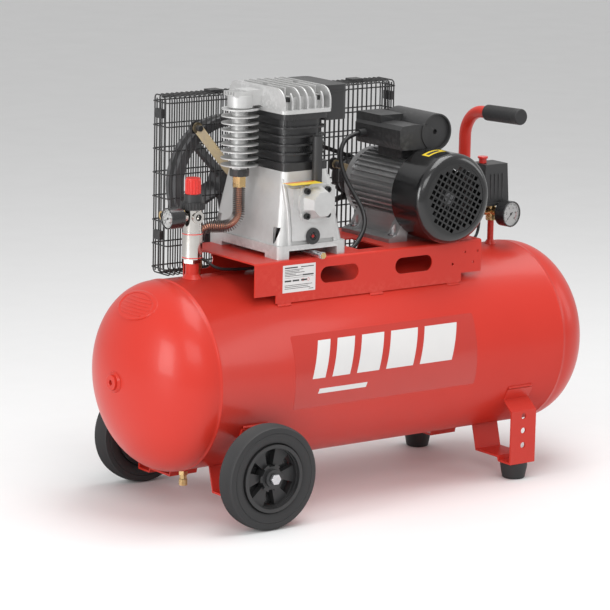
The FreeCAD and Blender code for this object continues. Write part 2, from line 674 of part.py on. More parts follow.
def cylinder_block():
    c = pump_c()
    z0, z1 = CASE_TOP, BLOCK_TOP
    core = slab(BLOCK_HALF_W, BLOCK_HALF_L, c, z0, z1, 24)
    fw, fl = BLOCK_HALF_W + FIN_OUT, BLOCK_HALF_L + FIN_OUT
    plates = [slab(fw - 1, fl, c, z0, z0 + 16, 12), slab(fw - 1, fl, c, z1 - 12, z1, 14)]
    gap = (z1 - 12 - z0 - 16) / 5.0
    for i in range(1, 5):
        z = z0 + 16 + gap * i - FIN_T / 2
        plates.append(slab(fw, fl, c, z, z + FIN_T, 26))
    s = fuse([core] + plates)
    tools = [cyl((c[0], c[1] + sy * BORE_PITCH / 2, z0 - 1), Z_AX, BORE_R, z1 - z0 + 2) for sy in (-1, 1)]
    tools += [cyl((x, y, z1 - 32), Z_AX, 4.0, 40) for x, y in head_bolts()]
    add("cylinder_block", cut(s, tools))


def head_fin(x):
    """One cooling fin across X, with rounded shoulders over the head's ends."""
    c = pump_c()
    z0, z1 = BLOCK_TOP + HEAD_FLANGE_T, HEAD_TOP
    half = HEAD_HALF_L - 4
    s = box(x - HEAD_FIN_T / 2, x + HEAD_FIN_T / 2, c[1] - half, c[1] + half, z0 - 2, z1)
    top = [e for e in s.Edges if abs(e.tangentAt(0).x) > 0.9 and e.CenterOfMass.z > z1 - 1]
    return s.makeFillet(min(28.0, (z1 - z0) * 0.68), top)


def cylinder_head():
    c = pump_c()
    z0 = BLOCK_TOP
    flange = slab(HEAD_HALF_W, HEAD_HALF_L, c, z0, z0 + HEAD_FLANGE_T, 12)
    core = slab(HEAD_HALF_W - 8, HEAD_HALF_L - 16, c, z0 + HEAD_FLANGE_T - 1, z0 + 30, 16)
    n = int(HEAD_HALF_W // HEAD_FIN_PITCH)
    fins = [head_fin(c[0] + i * HEAD_FIN_PITCH) for i in range(-n, n + 1)]
    pad = box(c[0] - HEAD_HALF_W, c[0] - HEAD_HALF_W + 14, c[1] - 20, c[1] + 20, z0 + 8, z0 + 40)
    s = fuse([flange, core, pad] + fins)
    tools = []
    for x, y in head_bolts():
        tools += [cyl((x, y, z0 - 1), Z_AX, 4.0, 60), cyl((x, y, z0 + 22), Z_AX, 9.5, 60)]
    for sy in (-1, 1):
        tools.append(box(c[0] - 24, c[0] + 24, c[1] + sy * 42 - 24, c[1] + sy * 42 + 24, z0 - 1, z0 + 16))
    tools.append(cyl((c[0] - HEAD_HALF_W - 5, c[1], z0 + 26), X_AX, 9, 40))
    add("cylinder_head", max(cut(s, tools).Solids, key=lambda q: q.Volume))


def air_filter():
    x0 = PUMP_X + HEAD_HALF_W
    c = (x0 + 28.5, PUMP_Y)
    s = slab(28.5, 67, c, BLOCK_TOP - 22, HEAD_TOP - 2, 12)
    lid = slab(29.5, 68, (x0 + 29.5, PUMP_Y), HEAD_TOP - 16, HEAD_TOP - 13, 12)
    s = fuse([s, lid])
    s = s.cut(slab(25, 63, c, BLOCK_TOP - 18, HEAD_TOP - 6, 9))
    louvres = [box(c[0] - 12, c[0] + 12, PUMP_Y + k * 12 - 3, PUMP_Y + k * 12 + 3, BLOCK_TOP - 30,
                   BLOCK_TOP - 10) for k in range(-4, 5)]
    add("air_filter", cut(s, louvres))


def sight_glass():
    front = PUMP_Y - PUMP_HALF_L
    p = (PUMP_X - 2, front - 3, PLAT_TOP + 41)
    s = fuse([cyl(p, Y_AX, 16, 3), cyl(p, Y_AX, 11, 12)])
    s = s.cut(cyl((p[0], p[1] - 1, p[2]), Y_AX, 8, 3))
    add("sight_glass", s)
    case = PARTS["crankcase"][0]
    seat = cyl((p[0], front - 1, p[2]), Y_AX, 16, 1)
    PARTS["crankcase"] = case.cut(seat).Solids


def oil_drain():
    front = PUMP_Y - PUMP_HALF_L
    z = PLAT_TOP + 7.5
    tube = ring((PUMP_X, front - 26, z), Y_AX, 6.0, 3.5, 60)
    cap = fuse([hexagon((PUMP_X, front - 34, z), Y_AX, 12.4, 8), cyl((PUMP_X, front - 26, z), Y_AX, 3.5, 8)])
    add("oil_drain_tube", tube, cap)


def breather():
    z = CRANK_Z + 29
    x, y = PUMP_X + 15, PUMP_Y - PUMP_HALF_L + 13
    s = ring((x, y, z), Z_AX, 9.8, 7.5, 96)
    s = fuse([s, ring((x, y, z), Z_AX, 10.8, 7.5, 6)])
    plug = cyl((x, y, z + 88), Z_AX, 7.5, 5)
    block = PARTS["cylinder_block"][0]
    case = PARTS["crankcase"][0]
    head = PARTS["cylinder_head"][0]
    keep = s
    for other in (case, block, head, PARTS["crank_cover"][0]):
        keep = keep.cut(other)
    add("breather_tube", max(keep.Solids, key=lambda q: q.Volume), plug.cut(head))


# ---- delivery line ----
def aftercooler():
    x, y = COOLER_X, PUMP_Y
    top = COOLER_BASE + COOLER_PITCH * COOLER_FINS - 6
    core = cyl((x, y, COOLER_BASE), Z_AX, COOLER_CORE_R, top - COOLER_BASE)
    fins = [cyl((x, y, COOLER_BASE + 3 + i * COOLER_PITCH), Z_AX, COOLER_R, 2.2) for i in range(COOLER_FINS)]
    cap = fuse([cyl((x, y, top), Z_AX, 25, 24), cone((x, y, top - 4), Z_AX, 17, 25, 4)])
    ribs = [box(x - 26, x + 20, y + k * 9 - 1.2, y + k * 9 + 1.2, top + 22, top + 31) for k in range(-2, 3)]
    arm_z = BLOCK_TOP + 10
    arm = box(x, PUMP_X - HEAD_HALF_W, y - 20, y + 20, arm_z, arm_z + 30)
    s = fuse([core, cap, arm] + fins + ribs)
    s = s.cut(cyl((x, y, COOLER_BASE - 1), Z_AX, 7, top - COOLER_BASE + 8))
    s = s.cut(cyl((x, y, BLOCK_TOP + 26), X_AX, 7, 60))
    block = PARTS["cylinder_block"][0]
    s = s.cut(box(PUMP_X - HEAD_HALF_W + 0.0, PUMP_X, -200, 200, 600, 900))
    ferrule = hexagon((x, y, COOLER_BASE - 18), Z_AX, 29.0, 18).cut(cyl((x, y, COOLER_BASE - 20), Z_AX,
                                                                        PIPE_R, 30))
    add("aftercooler", max(s.Solids, key=lambda q: q.Volume), ferrule)


def pipe_points():
    z = PLAT_TOP + 50
    return [(COOLER_X, PUMP_Y, COOLER_BASE - 10), (COOLER_X, PUMP_Y, z), (VALVE_X, VALVE_Y, z),
            (VALVE_X, VALVE_Y, PLAT_TOP + 12)]


def delivery():
    pts = pipe_points()
    radii = [34.0, 24.0]
    add("delivery_pipe", rod(pts, radii, PIPE_R, PIPE_R - 1.2))
    nut = hexagon((COOLER_X, PUMP_Y, COOLER_BASE - 39), Z_AX, 24.0,
                  21).cut(cyl((COOLER_X, PUMP_Y, COOLER_BASE - 60), Z_AX, PIPE_R, 60))
    body = tank_round(TANK_R)
    base = AXIS_Z + math.sqrt(TANK_R ** 2 - VALVE_Y ** 2)
    top = PLAT_TOP + 12
    valve = fuse([cyl((VALVE_X, VALVE_Y, base - 10), Z_AX, 11, 26),
                  hexagon((VALVE_X, VALVE_Y, base + 14), Z_AX, 26.0, 16),
                  cyl((VALVE_X, VALVE_Y, base + 30), Z_AX, 10, top - base - 34),
                  hexagon((VALVE_X, VALVE_Y, top - 6), Z_AX, 22.0, 14)])
    elbow = cyl((VALVE_X, VALVE_Y - 11, base + 36), V(0, 1, 0), 5, 8)
    valve = fuse([valve, elbow]).cut(body).cut(cyl((VALVE_X, VALVE_Y, base - 20), Z_AX, 5, top - base + 20))
    valve = valve.cut(cyl((VALVE_X, VALVE_Y, top), Z_AX, PIPE_R, 20))
    valve = valve.cut(cyl((VALVE_X, VALVE_Y - 12, base + 36), Y_AX, TUBE_R, 6))
    outlet = outlet_valve()
    add("brass_fittings", nut, max(valve.Solids, key=lambda q: q.Volume), outlet)
    add("pipe_fins", *pipe_fins(pts, radii))


def outlet_valve():
    y = REG_BODY_R + 18.5
    p = (POST_X, y, PORT_Z)
    s = fuse([cyl((POST_X, REG_BODY_R + 8, PORT_Z), Y_AX, 8, y - REG_BODY_R),
              cyl((POST_X + 12, y, PORT_Z), V(-1, 0, 0), 10, 34),
              hexagon((POST_X - 22, y, PORT_Z), V(-1, 0, 0), 21.0, 14),
              cyl((POST_X - 36, y, PORT_Z), V(-1, 0, 0), 8.5, 12)])
    s = s.cut(cyl((POST_X - 10, y, PORT_Z), V(-1, 0, 0), 4.5, 60))
    return s.cut(cyl((POST_X, REG_BODY_R, PORT_Z), Y_AX, 4.5, 20))


def pipe_fins(pts, radii):
    """Thin discs threaded on the pipe, square to its path."""
    wire = path(pts, radii)
    out = []
    step, run = 4.2, 34.0
    total = wire.Length - 34.0
    edges = wire.OrderedEdges
    pos = 0.0
    for e in edges:
        n = 0
        while run <= pos + e.Length and run < total:
            u = e.getParameterByLength(run - pos)
            p, t = e.valueAt(u), e.tangentAt(u)
            disc = Part.makeCylinder(PIPE_FIN_R, 1.0, p - t * 0.5,
                                     t).cut(Part.makeCylinder(PIPE_R, 3.0, p - t * 1.5, t))
            out.append(disc)
            run += step
            n += 1
        pos += e.Length
    return out


# ---- drive ----
def grooved(x, z, r, width, y):
    """A pulley blank with one vee groove for the belt, about Y."""
    half = width / 2
    top, low = BELT_W / 2 + BELT_CLEAR, BELT_W / 2 - 2.5 + BELT_CLEAR
    floor = r - BELT_H - BELT_CLEAR
    return turned([(0, 0), (0, r), (half - top, r), (half - low, floor), (half + low, floor),
                   (half + top, r), (width, r),
                   (width, 0)], (x, y - half, z), Y_AX)


def flywheel():
    x, z, y = PUMP_X, CRANK_Z, BELT_Y
    blank = grooved(x, z, FLYWHEEL_R, FLYWHEEL_W, y)
    rim_in = FLYWHEEL_R - 20
    rim = blank.cut(cyl((x, y - 40, z), Y_AX, rim_in, 80))
    hub = cyl((x, y - FLYWHEEL_W / 2 - 6, z), Y_AX, 30, FLYWHEEL_W + 6)
    blades = []
    for i in range(5):
        blade = box(20, rim_in + 3, -3.5, 3.5, -19, 19)
        blade.rotate(V(0, 0, 0), X_AX, 52)
        blade.rotate(V(0, 0, 0), Y_AX, 72 * i + 10)
        blade.translate(V(x, y, z))
        blades.append(blade.common(cyl((x, y - 15, z), Y_AX, rim_in + 2, 30)))
    s = fuse([rim, hub] + blades).cut(cyl((x, y - 60, z), Y_AX, SHAFT_NOSE_R, 120))
    add("flywheel", s)
    pulley = grooved(MOTOR_X, MOTOR_Z, PULLEY_R, PULLEY_W, y)
    pulley = fuse([pulley, cyl((MOTOR_X, y - PULLEY_W / 2 - 12, MOTOR_Z), Y_AX, 22, 12)])
    add("motor_pulley", pulley.cut(cyl((MOTOR_X, y - 80, MOTOR_Z), Y_AX, MOTOR_SHAFT_R, 160)))


def belt_section(r_out):
    """Half widths at the belt's outer and inner faces."""
    return [(-BELT_W / 2, r_out), (BELT_W / 2, r_out), (BELT_W / 2 - 2.5, r_out - BELT_H),
            (-BELT_W / 2 + 2.5, r_out - BELT_H)]


def v_belt():
    x1, z1, r1 = PUMP_X, CRANK_Z, FLYWHEEL_R
    x2, z2, r2 = MOTOR_X, MOTOR_Z, PULLEY_R
    dist = math.hypot(x2 - x1, z2 - z1)
    lean = math.atan2(z2 - z1, x2 - x1)
    wrap = math.acos((r1 - r2) / dist)
    pieces = []
    for cx, cz, r, a0, a1 in ((x1, z1, r1, lean + wrap, lean - wrap + 2 * math.pi),
                              (x2, z2, r2, lean - wrap, lean + wrap)):
        pts = [V(cx + rr * math.cos(a0), BELT_Y + w, cz + rr * math.sin(a0)) for w, rr in belt_section(r)]
        face = Part.Face(Part.makePolygon(pts + [pts[0]]))
        pieces.append(face.revolve(V(cx, 0, cz), V(0, -1, 0), math.degrees(a1 - a0)))
    for sign in (1, -1):
        a = lean + sign * wrap
        u = V(math.cos(a), 0, math.sin(a))
        start = V(x1, BELT_Y, z1)
        end = V(x2, BELT_Y, z2)
        pts = [start + u * rr + V(0, w, 0) for w, rr in belt_section(r1)]
        run = (end + u * r2) - (start + u * r1)
        pieces.append(Part.Face(Part.makePolygon(pts + [pts[0]])).extrude(run))
    add("v_belt", fuse(pieces))


# ---- motor ----
def motor():
    x, z = MOTOR_X, MOTOR_Z
    y0, y1 = MOTOR_Y0, MOTOR_Y1
    body = cyl((x, y0, z), Y_AX, MOTOR_R, y1 - y0)
    fins = []
    for i in range(40):
        a = 360.0 / 40 * i
        if 238 < a < 302:
            continue
        f = box(MOTOR_R - 3, MOTOR_FIN_R, y0 + 4, y1 - 4, -1.5, 1.5)
        f.rotate(V(0, 0, 0), Y_AX, -a)
        f.translate(V(x, 0, z))
        fins.append(f)
    top = PLAT_TOP
    w = FOOT_HALF_W
    feet = []
    for s in (-1, 1):
        pts = [(x + s * (w - 46), y0, top), (x + s * w, y0, top), (x + s * w, y0, top + 8),
               (x + s * (w - 20), y0, top + 14),
               (x + s * (w - 44), y0, top + 58), (x + s * (w - 56), y0, top + 58),
               (x + s * (w - 46), y0, top + 10)]
        leg = prism(pts, (0, FOOT_L, 0))
        leg = leg.cut(box(*sorted((x + s * (w - 40), x + s * (w + 1))), y0 + 29, y0 + FOOT_L - 29, top + 8,
                          top + 50))
        feet.append(leg)
    bridge = box(x - w + 46, x + w - 46, y0 + 10, y1 - 10, top + 30, top + 44)
    s = fuse([body] + feet + [bridge] + fins)
    s = s.cut(cyl((x, y0 - 20, z), Y_AX, STATOR_BORE_R, 200))
    s = s.cut(cyl((x, y0 - 30, z), Y_AX, MOTOR_FIN_R + 0.5, 30)).cut(cyl((x, y1, z), Y_AX,
                                                                         MOTOR_FIN_R + 0.5, 30))
    tools = [cyl((fx, fy, top - 5), Z_AX, 4.5, 40) for fx, fy in motor_feet()]
    tools += [cyl((fx, fy, top + 8), Z_AX, 9.5, 60) for fx, fy in motor_feet()]
    add("motor_body", max(cut(s, tools).Solids, key=lambda q: q.Volume))
    bore = cyl((x, y0 - 60, z), Y_AX, MOTOR_SHAFT_R + RUN_CLEAR, 300)
    front = fuse([cyl((x, y0 - 9, z), Y_AX, MOTOR_R + 5, 9), cyl((x, y0 - 18, z), Y_AX, 24, 9)]).cut(bore)
    rear = fuse([turned([(0, 0), (0, MOTOR_R + 5), (14, MOTOR_R + 5), (26, MOTOR_R - 12), (30, 34),
                         (36, 28), (36, 0)], (x, y1, z), Y_AX)])
    rear = rear.cut(turned([(0, 0), (0, MOTOR_R - 4), (10, MOTOR_R - 4), (20, 30), (20, 0)], (x, y1, z),
                           Y_AX)).cut(bore)
    slots = []
    for i in range(8):
        a = math.radians(45 * i + 22.5)
        slots.append(cyl((x + 50 * math.cos(a), y1 + 8, z + 50 * math.sin(a)), Y_AX, 7, 30))
    add("end_shields", front, cut(rear, slots))
    core = cyl((x, y0 + 22, z), Y_AX, STATOR_BORE_R - ROTOR_GAP, y1 - y0 - 44)
    shaft = cyl((x, FAN_FACE_Y + 20, z), Y_AX, MOTOR_SHAFT_R, BELT_Y + PULLEY_W / 2 + 3 - FAN_FACE_Y - 20)
    add("motor_rotor", fuse([core, shaft]))


def fan():
    x, z = MOTOR_X, MOTOR_Z
    y = FAN_FACE_Y + 26
    hub = fuse([cyl((x, y, z), Y_AX, 18, 28), ring((x, y + 24, z), Y_AX, 60, 10, 4)])
    blades = []
    for i in range(8):
        b = box(14, 64, 0, 26, -1.5, 1.5)
        b.rotate(V(0, 0, 0), Y_AX, 45 * i)
        b.translate(V(x, y, z))
        blades.append(b)
    add("motor_fan", fuse([hub] + blades).cut(cyl((x, y - 5, z), Y_AX, MOTOR_SHAFT_R, 60)))


def fan_cover():
    x, z, t = MOTOR_X, MOTOR_Z, FAN_COVER_T
    y0 = FAN_FACE_Y

    def shell(r, start, rnd):
        s = cyl((x, start, z), Y_AX, r, MOTOR_Y0 + 4 - start)
        e = [k for k in s.Edges if abs(k.CenterOfMass.y - start) < 0.01 and k.Length > 10]
        return s.makeFillet(rnd, e)

    s = shell(FAN_COVER_R, y0, 19.0).cut(shell(FAN_COVER_R - t, y0 + t, 17.0))
    s = s.cut(cyl((x, y0 - 1, z), Y_AX, GRILLE_R, 1.0 + t * 0.45))
    holes = []
    n = int(GRILLE_R / GRILLE_PITCH)
    for i in range(-n, n + 1):
        for j in range(-n, n + 1):
            u, v = i * GRILLE_PITCH, j * GRILLE_PITCH
            if math.hypot(u, v) + GRILLE_HOLE * 0.7 < GRILLE_R:
                h = GRILLE_HOLE / 2
                holes.append(box(u - h, u + h, y0 - 2, y0 + t + 2, v - h, v + h))
    grid = Part.makeCompound(holes)
    grid.rotate(V(0, 0, 0), Y_AX, 30)
    grid.translate(V(x, 0, z))
    s = s.cut(grid)
    studs = []
    for i in range(4):
        a = math.radians(45 + 90 * i)
        q = V(math.cos(a), 0, math.sin(a))
        studs.append(Part.makeCylinder(4.0, FAN_COVER_R - t - MOTOR_R - 4.8,
                                       V(x, MOTOR_Y0 - 4.5, z) + q * (MOTOR_R + 5), q))
    s = fuse([s] + studs)
    clear = cyl((x, MOTOR_Y0 - 9, z), Y_AX, MOTOR_R + 5, 9).fuse(PARTS["motor_body"][0])
    add("fan_cover", max(s.cut(clear).Solids, key=lambda q: q.Volume))


def terminal_box():
    x, z = MOTOR_X, MOTOR_Z
    z0 = z + MOTOR_FIN_R + BOX_RISE
    y0, y1 = BOX_Y0, BOX_Y1
    main = prism([(x - 67, y0, z0 + 14), (x - 60, y0, z0), (x + 4, y0, z0), (x + 4, y0, z0 + 46),
                  (x - 30, y0, z0 + 50), (x - 60, y0, z0 + 48),
                  (x - 67, y0, z0 + 40)], (0, y1 - y0, 0))
    lid = box(x - 62, x - 6, y0 + 70, y1, z0 + 46, z0 + 62)
    cap = cyl((x + 23, y0 - 2, z + 120), Y_AX, CAP_R, 128)
    cap = cap.cut(cyl((x + 23, y0 - 3, z + 120), Y_AX, CAP_R - 3, 7)).cut(cyl((x + 23, y0 - 3, z + 120),
                                                                              Y_AX, 5, 14))
    gland = cyl((x - 67, y1 - 32, z0 + 22), V(-1, 0, 0), 8, 16)
    stand = box(x - 40, x + 20, -30, 45, z + MOTOR_R, z0 + 4)
    s = fuse([main, lid, cap, gland, stand]).cut(cyl((x, -200, z), Y_AX, MOTOR_FIN_R,
                                                     400)).cut(PARTS["motor_body"][0])
    s = s.cut(cyl((x - 90, y1 - 32, z0 + 22), X_AX, CORD_R, 12))
    s = s.cut(cyl((x + 23, y0 + 12, z + 120), Y_AX, CAP_R - 4, 106))
    s = s.cut(box(x - 60, x - 2, y0 + 6, y1 - 6, z0 + 6, z0 + 40))
    s = s.cut(PARTS["fan_cover"][0])
    add("terminal_box", max(s.Solids, key=lambda q: q.Volume))


def mount_bolts():
    solids = []
    for x, y in pump_feet():
        z = PLAT_TOP + 26
        solids.append(fuse([hexagon((x, y, z), Z_AX, 13.0, 6),
                            cyl((x, y, z - 26 - PLAT_T - 14), Z_AX, 4.5, 26 + PLAT_T + 14)]))
    for x, y in motor_feet():
        z = PLAT_TOP + 8
        solids.append(fuse([hexagon((x, y, z), Z_AX, 13.0, 6),
                            cyl((x, y, z - 8 - PLAT_T - 14), Z_AX, 4.5, 8 + PLAT_T + 14)]))
    for side in (-1, 1):
        p = (BRACKET_X, side * FOOT_Y)
        solids.append(fuse([hexagon((p[0], p[1], 5), Z_AX, 13.0, 5),
                            cyl((p[0], p[1], 9), Z_AX, 4.0, BRACKET_BASE_Z + 6)]))
    add("mount_bolts", *solids)


# ---- guard ----
def guard_half(y_face, y_mid):
    """Half of the wire cage: upright wires that turn over at both ends, and rows that turn at both sides."""
    r, b = WIRE_R, WIRE_BEND
    d = 1 if y_mid > y_face else -1
    solids = []
    count = int(round((GUARD_X1 - GUARD_X0 - 2 * b) / WIRE_PITCH)) + 1
    step = (GUARD_X1 - GUARD_X0 - 2 * b) / (count - 1)
    for i in range(count):
        x = GUARD_X0 + b + i * step
        pts = [(x, y_face + d * b, GUARD_Z0), (x, y_face, GUARD_Z0), (x, y_face, GUARD_Z1),
               (x, y_face + d * b, GUARD_Z1)]
        solids.append(rod(pts, [b * 0.999, b * 0.999], r))
        for z in (GUARD_Z0, GUARD_Z1):
            solids.append(rod([(x, y_face + d * b, z), (x, y_mid, z)], [], r))
    inner = 2 * r
    for k in range(ROWS):
        z = GUARD_Z0 + 12 + k * (GUARD_Z1 - GUARD_Z0 - 24) / (ROWS - 1)
        y = y_face + d * inner
        pts = [(GUARD_X0, y + d * b, z), (GUARD_X0, y, z), (GUARD_X1, y, z), (GUARD_X1, y + d * b, z)]
        solids.append(rod(pts, [b * 0.999, b * 0.999], r))
        for x in (GUARD_X0, GUARD_X1):
            solids.append(rod([(x, y + d * b, z), (x, y_mid, z)], [], r))
    for z in (GUARD_Z0 + inner, GUARD_Z1 - inner):
        solids.append(rod([(GUARD_X0 + b - 3, y_mid - d * 2.4, z), (GUARD_X1 - b + 3, y_mid - d * 2.4, z)],
                          [], r))
    return solids


def side_wires(y_face, y_mid):
    """Upright wires on the guard's two narrow ends."""
    d = 1 if y_mid > y_face else -1
    out = []
    for x in (GUARD_X0 + 2 * WIRE_R, GUARD_X1 - 2 * WIRE_R):
        for dy in (15.0, 27.0):
            out.append(rod([(x, y_face + d * dy, GUARD_Z0 + 4 * WIRE_R),
                            (x, y_face + d * dy, GUARD_Z1 - 4 * WIRE_R)], [], WIRE_R))
    return out


def guard():
    mid = (GUARD_Y0 + GUARD_Y1) / 2
    gaps = [cyl((x, GUARD_Y0 - 5, z), Y_AX, SHAFT_GAP_R, 12) for x,
            z in ((PUMP_X, CRANK_Z), (MOTOR_X, MOTOR_Z))]
    wires = []
    for wire in guard_half(GUARD_Y0, mid - 0.2) + side_wires(GUARD_Y0, mid):
        crossed = [g for g in gaps if g.BoundBox.intersect(wire.BoundBox)]
        wires.append(cut(wire, crossed))
    add("guard_front", *wires)
    add("guard_back", *(guard_half(GUARD_Y1, mid + 0.2) + side_wires(GUARD_Y1, mid)))
    clips = []
    for x, side in ((GUARD_X0, -1), (GUARD_X1, 1)):
        for z in (GUARD_Z0 + 79, GUARD_Z1 - 34):
            clips.append(box(*sorted((x - side * 3, x + side * 6)), mid - 12, mid + 12, z - 9, z + 9))
    for x in (GUARD_X0 + 125, GUARD_X1 - 87):
        for z, s in ((GUARD_Z1, 1), (GUARD_Z0, -1)):
            clips.append(box(x - 14, x + 14, mid - 12, mid + 12, *sorted((z - s * 3, z + s * 6))))
    for x, z in stay_bolts():
        clips.append(cyl((x, GUARD_Y0 - 16, z), Y_AX, 6.0, 14))
        clips.append(ring((x, GUARD_Y0 + 1.6, z), Y_AX, 13, 5.0, 2.5))
        clips.append(cyl((x, GUARD_Y0 - 1.9, z), Y_AX, 5.0, 8.0))
    add("guard_fittings", *clips)


def stay_bolts():
    return [(PUMP_X - 93.5, CRANK_Z + 116), (MOTOR_X - 66, MOTOR_Z + 33)]


def flat_bar(a, b, width, t, facing):
    """A straight flat bar between two points, its wide face towards a direction."""
    a, b = V(*a), V(*b)
    u = (b - a).normalize()
    n = V(*facing)
    n = (n - u * n.dot(u)).normalize()
    w = u.cross(n)
    pts = [a + w * (-width / 2) - n * (t / 2), a + w * (width / 2) - n * (t / 2),
           a + w * (width / 2) + n * (t / 2),
           a + w * (-width / 2) + n * (t / 2)]
    face = Part.Face(Part.makePolygon(pts + [pts[0]]))
    return face.extrude(b - a)


def guard_stays():
    (xa, za), (xb, zb) = stay_bolts()
    y = GUARD_Y0 - 5.0
    eye1 = cyl((xa, y - 1.5, za), Y_AX, 11, 3)
    arm1 = flat_bar((xa, y, za), (PUMP_X - 48, PUMP_Y + 92, CASE_TOP - 26), 19, 3, (-0.5, -0.85, 0.0))
    eye2 = cyl((xb, y - 1.5, zb), Y_AX, 9, 3)
    arm2 = flat_bar((xb, y, zb), (xb + 30, MOTOR_Y1 + 18, zb - 12), 14, 3, (-0.5, -0.85, 0.0))
    out = []
    for eye, arm, hole, bolt in ((eye1, arm1, PARTS["crankcase"][0], (xa, za)),
                                 (eye2, arm2, PARTS["end_shields"][1], (xb, zb))):
        s = fuse([eye, arm]).cut(hole).cut(cyl((bolt[0], GUARD_Y0 - 30, bolt[1]), Y_AX, 6.0, 60))
        out.append(max(s.Solids, key=lambda q: q.Volume))
    add("guard_stays", *out)


# ---- handle ----
def handle():
    x, y, z, r = HANDLE_X, HANDLE_Y, HANDLE_Z, HANDLE_R
    base = AXIS_Z + math.sqrt(TANK_R ** 2 - y ** 2) - 14
    end = GRIP_END
    pts = [(x, y, base), (x, y, z), (x, end + 3, z + GRIP_RISE * (y - end - 3) / (y - end))]
    tube = rod(pts, [HANDLE_BEND - 5], r, r - HANDLE_WALL)
    weld = cone((x, y, base), Z_AX, r + 10, r, 22).cut(cyl((x, y, base - 5), Z_AX, r, 60))
    s = fuse([tube, weld]).cut(tank_round(TANK_R))
    add("handle_tube", max(s.Solids, key=lambda q: q.Volume))
    grip = cyl((x, end, z), Y_AX, GRIP_R, GRIP_L)
    ends = [e for e in grip.Edges
            if e.Length > 20 and abs(e.CenterOfMass.z - z) < 0.01 and abs(e.CenterOfMass.x - x) < 0.01]
    grip = grip.makeFillet(3.0, ends)
    grooves = [ring((x, end + 16 + i * 4.0, z), Y_AX, GRIP_R + 1, GRIP_R - 1.0, 1.6) for i in range(23)]
    grip = cut(grip, grooves)
    grip.rotate(V(x, y, z), X_AX, -math.degrees(math.atan2(GRIP_RISE, y - end)))
    grip = grip.cut(rod(pts, [HANDLE_BEND - 5], r))
    add("handle_grip", grip)


# ---- regulator, switch and gauges ----
def gauge(name, origin, direction, r, start, length, stem_from):
    """A round pressure gauge with a bezel, its back towards the origin."""
    d = V(*direction).normalize()
    o = V(*origin)
    case = Part.makeCylinder(r, length, o + d * start, d)
    face = Part.makeCylinder(r - 2.5, 4.0, o + d * (start + length - 4.0), d)
    stem = Part.makeCylinder(5.5, start - stem_from + 0.0, o + d * stem_from, d)
    s = fuse([case.cut(face), stem])
    add(name, s)


def regulator():
    x = POST_X
    z0 = POST_TOP
    nut = hexagon((x, 0, z0), Z_AX, 32.0, 8)
    bowl = cyl((x, 0, z0 + 8), Z_AX, BOWL_R, 51)
    neck = [cyl((x, 0, z0 + 59), Z_AX, BOWL_R - 1, 3), cyl((x, 0, z0 + 62), Z_AX, REG_BODY_R,
                                                           REG_TOP - z0 - 62)]
    ports = [cyl((x, 0, PORT_Z), V(0, -1, 0), 12, REG_BODY_R + 3),
             cyl((x, 0, PORT_Z), Y_AX, 12, REG_BODY_R + 8),
             cyl((x, 0, PORT_Z), V(-1, 0, 0), 9, REG_BODY_R + 4)]
    s = fuse([nut, bowl] + neck + ports)
    s = s.cut(cyl((x, -60, PORT_Z), Y_AX, 6.5, 50)).cut(cyl((x, 10, PORT_Z), Y_AX, 4.5, 50))
    s = s.cut(cyl((x, 0, z0 - 1), Z_AX, PORT_R, 40))
    s = s.cut(cyl((x, 0, REG_TOP - 30), Z_AX, 10, 40))
    add("regulator_body", s)
    nuts = []
    for i in range(24):
        a = math.radians(15 * i)
        nuts.append(cyl((x + 21.5 * math.cos(a), 21.5 * math.sin(a), REG_TOP), Z_AX, 1.5, 14))
    collar = fuse([cyl((x, 0, REG_TOP), Z_AX, 21.5, 14)] + nuts)
    bonnet = cone((x, 0, REG_TOP + 14), Z_AX, 17.5, 16.5, BONNET_H)
    s = fuse([collar, bonnet]).cut(cyl((x, 0, REG_TOP - 1), Z_AX, 6 + RUN_CLEAR, 60))
    add("regulator_bonnet", s)
    base = REG_TOP + 14 + BONNET_H + MOVE_GAP
    knob = [cyl((x, 0, base), Z_AX, KNOB_R - 1.0, KNOB_H), cyl((x, 0, base - 15), Z_AX, 6.0, 15)]
    for i in range(16):
        a = math.radians(22.5 * i)
        knob.append(cyl((x + (KNOB_R - 1.5) * math.cos(a), (KNOB_R - 1.5) * math.sin(a), base + 1), Z_AX,
                        2.0, KNOB_H - 5))
    add("regulator_knob", fuse(knob))
    gauge("gauge_left", (x, 0, PORT_Z), (-1, 0, 0), GAUGE_SMALL_R, 29, 31, REG_BODY_R + 4)


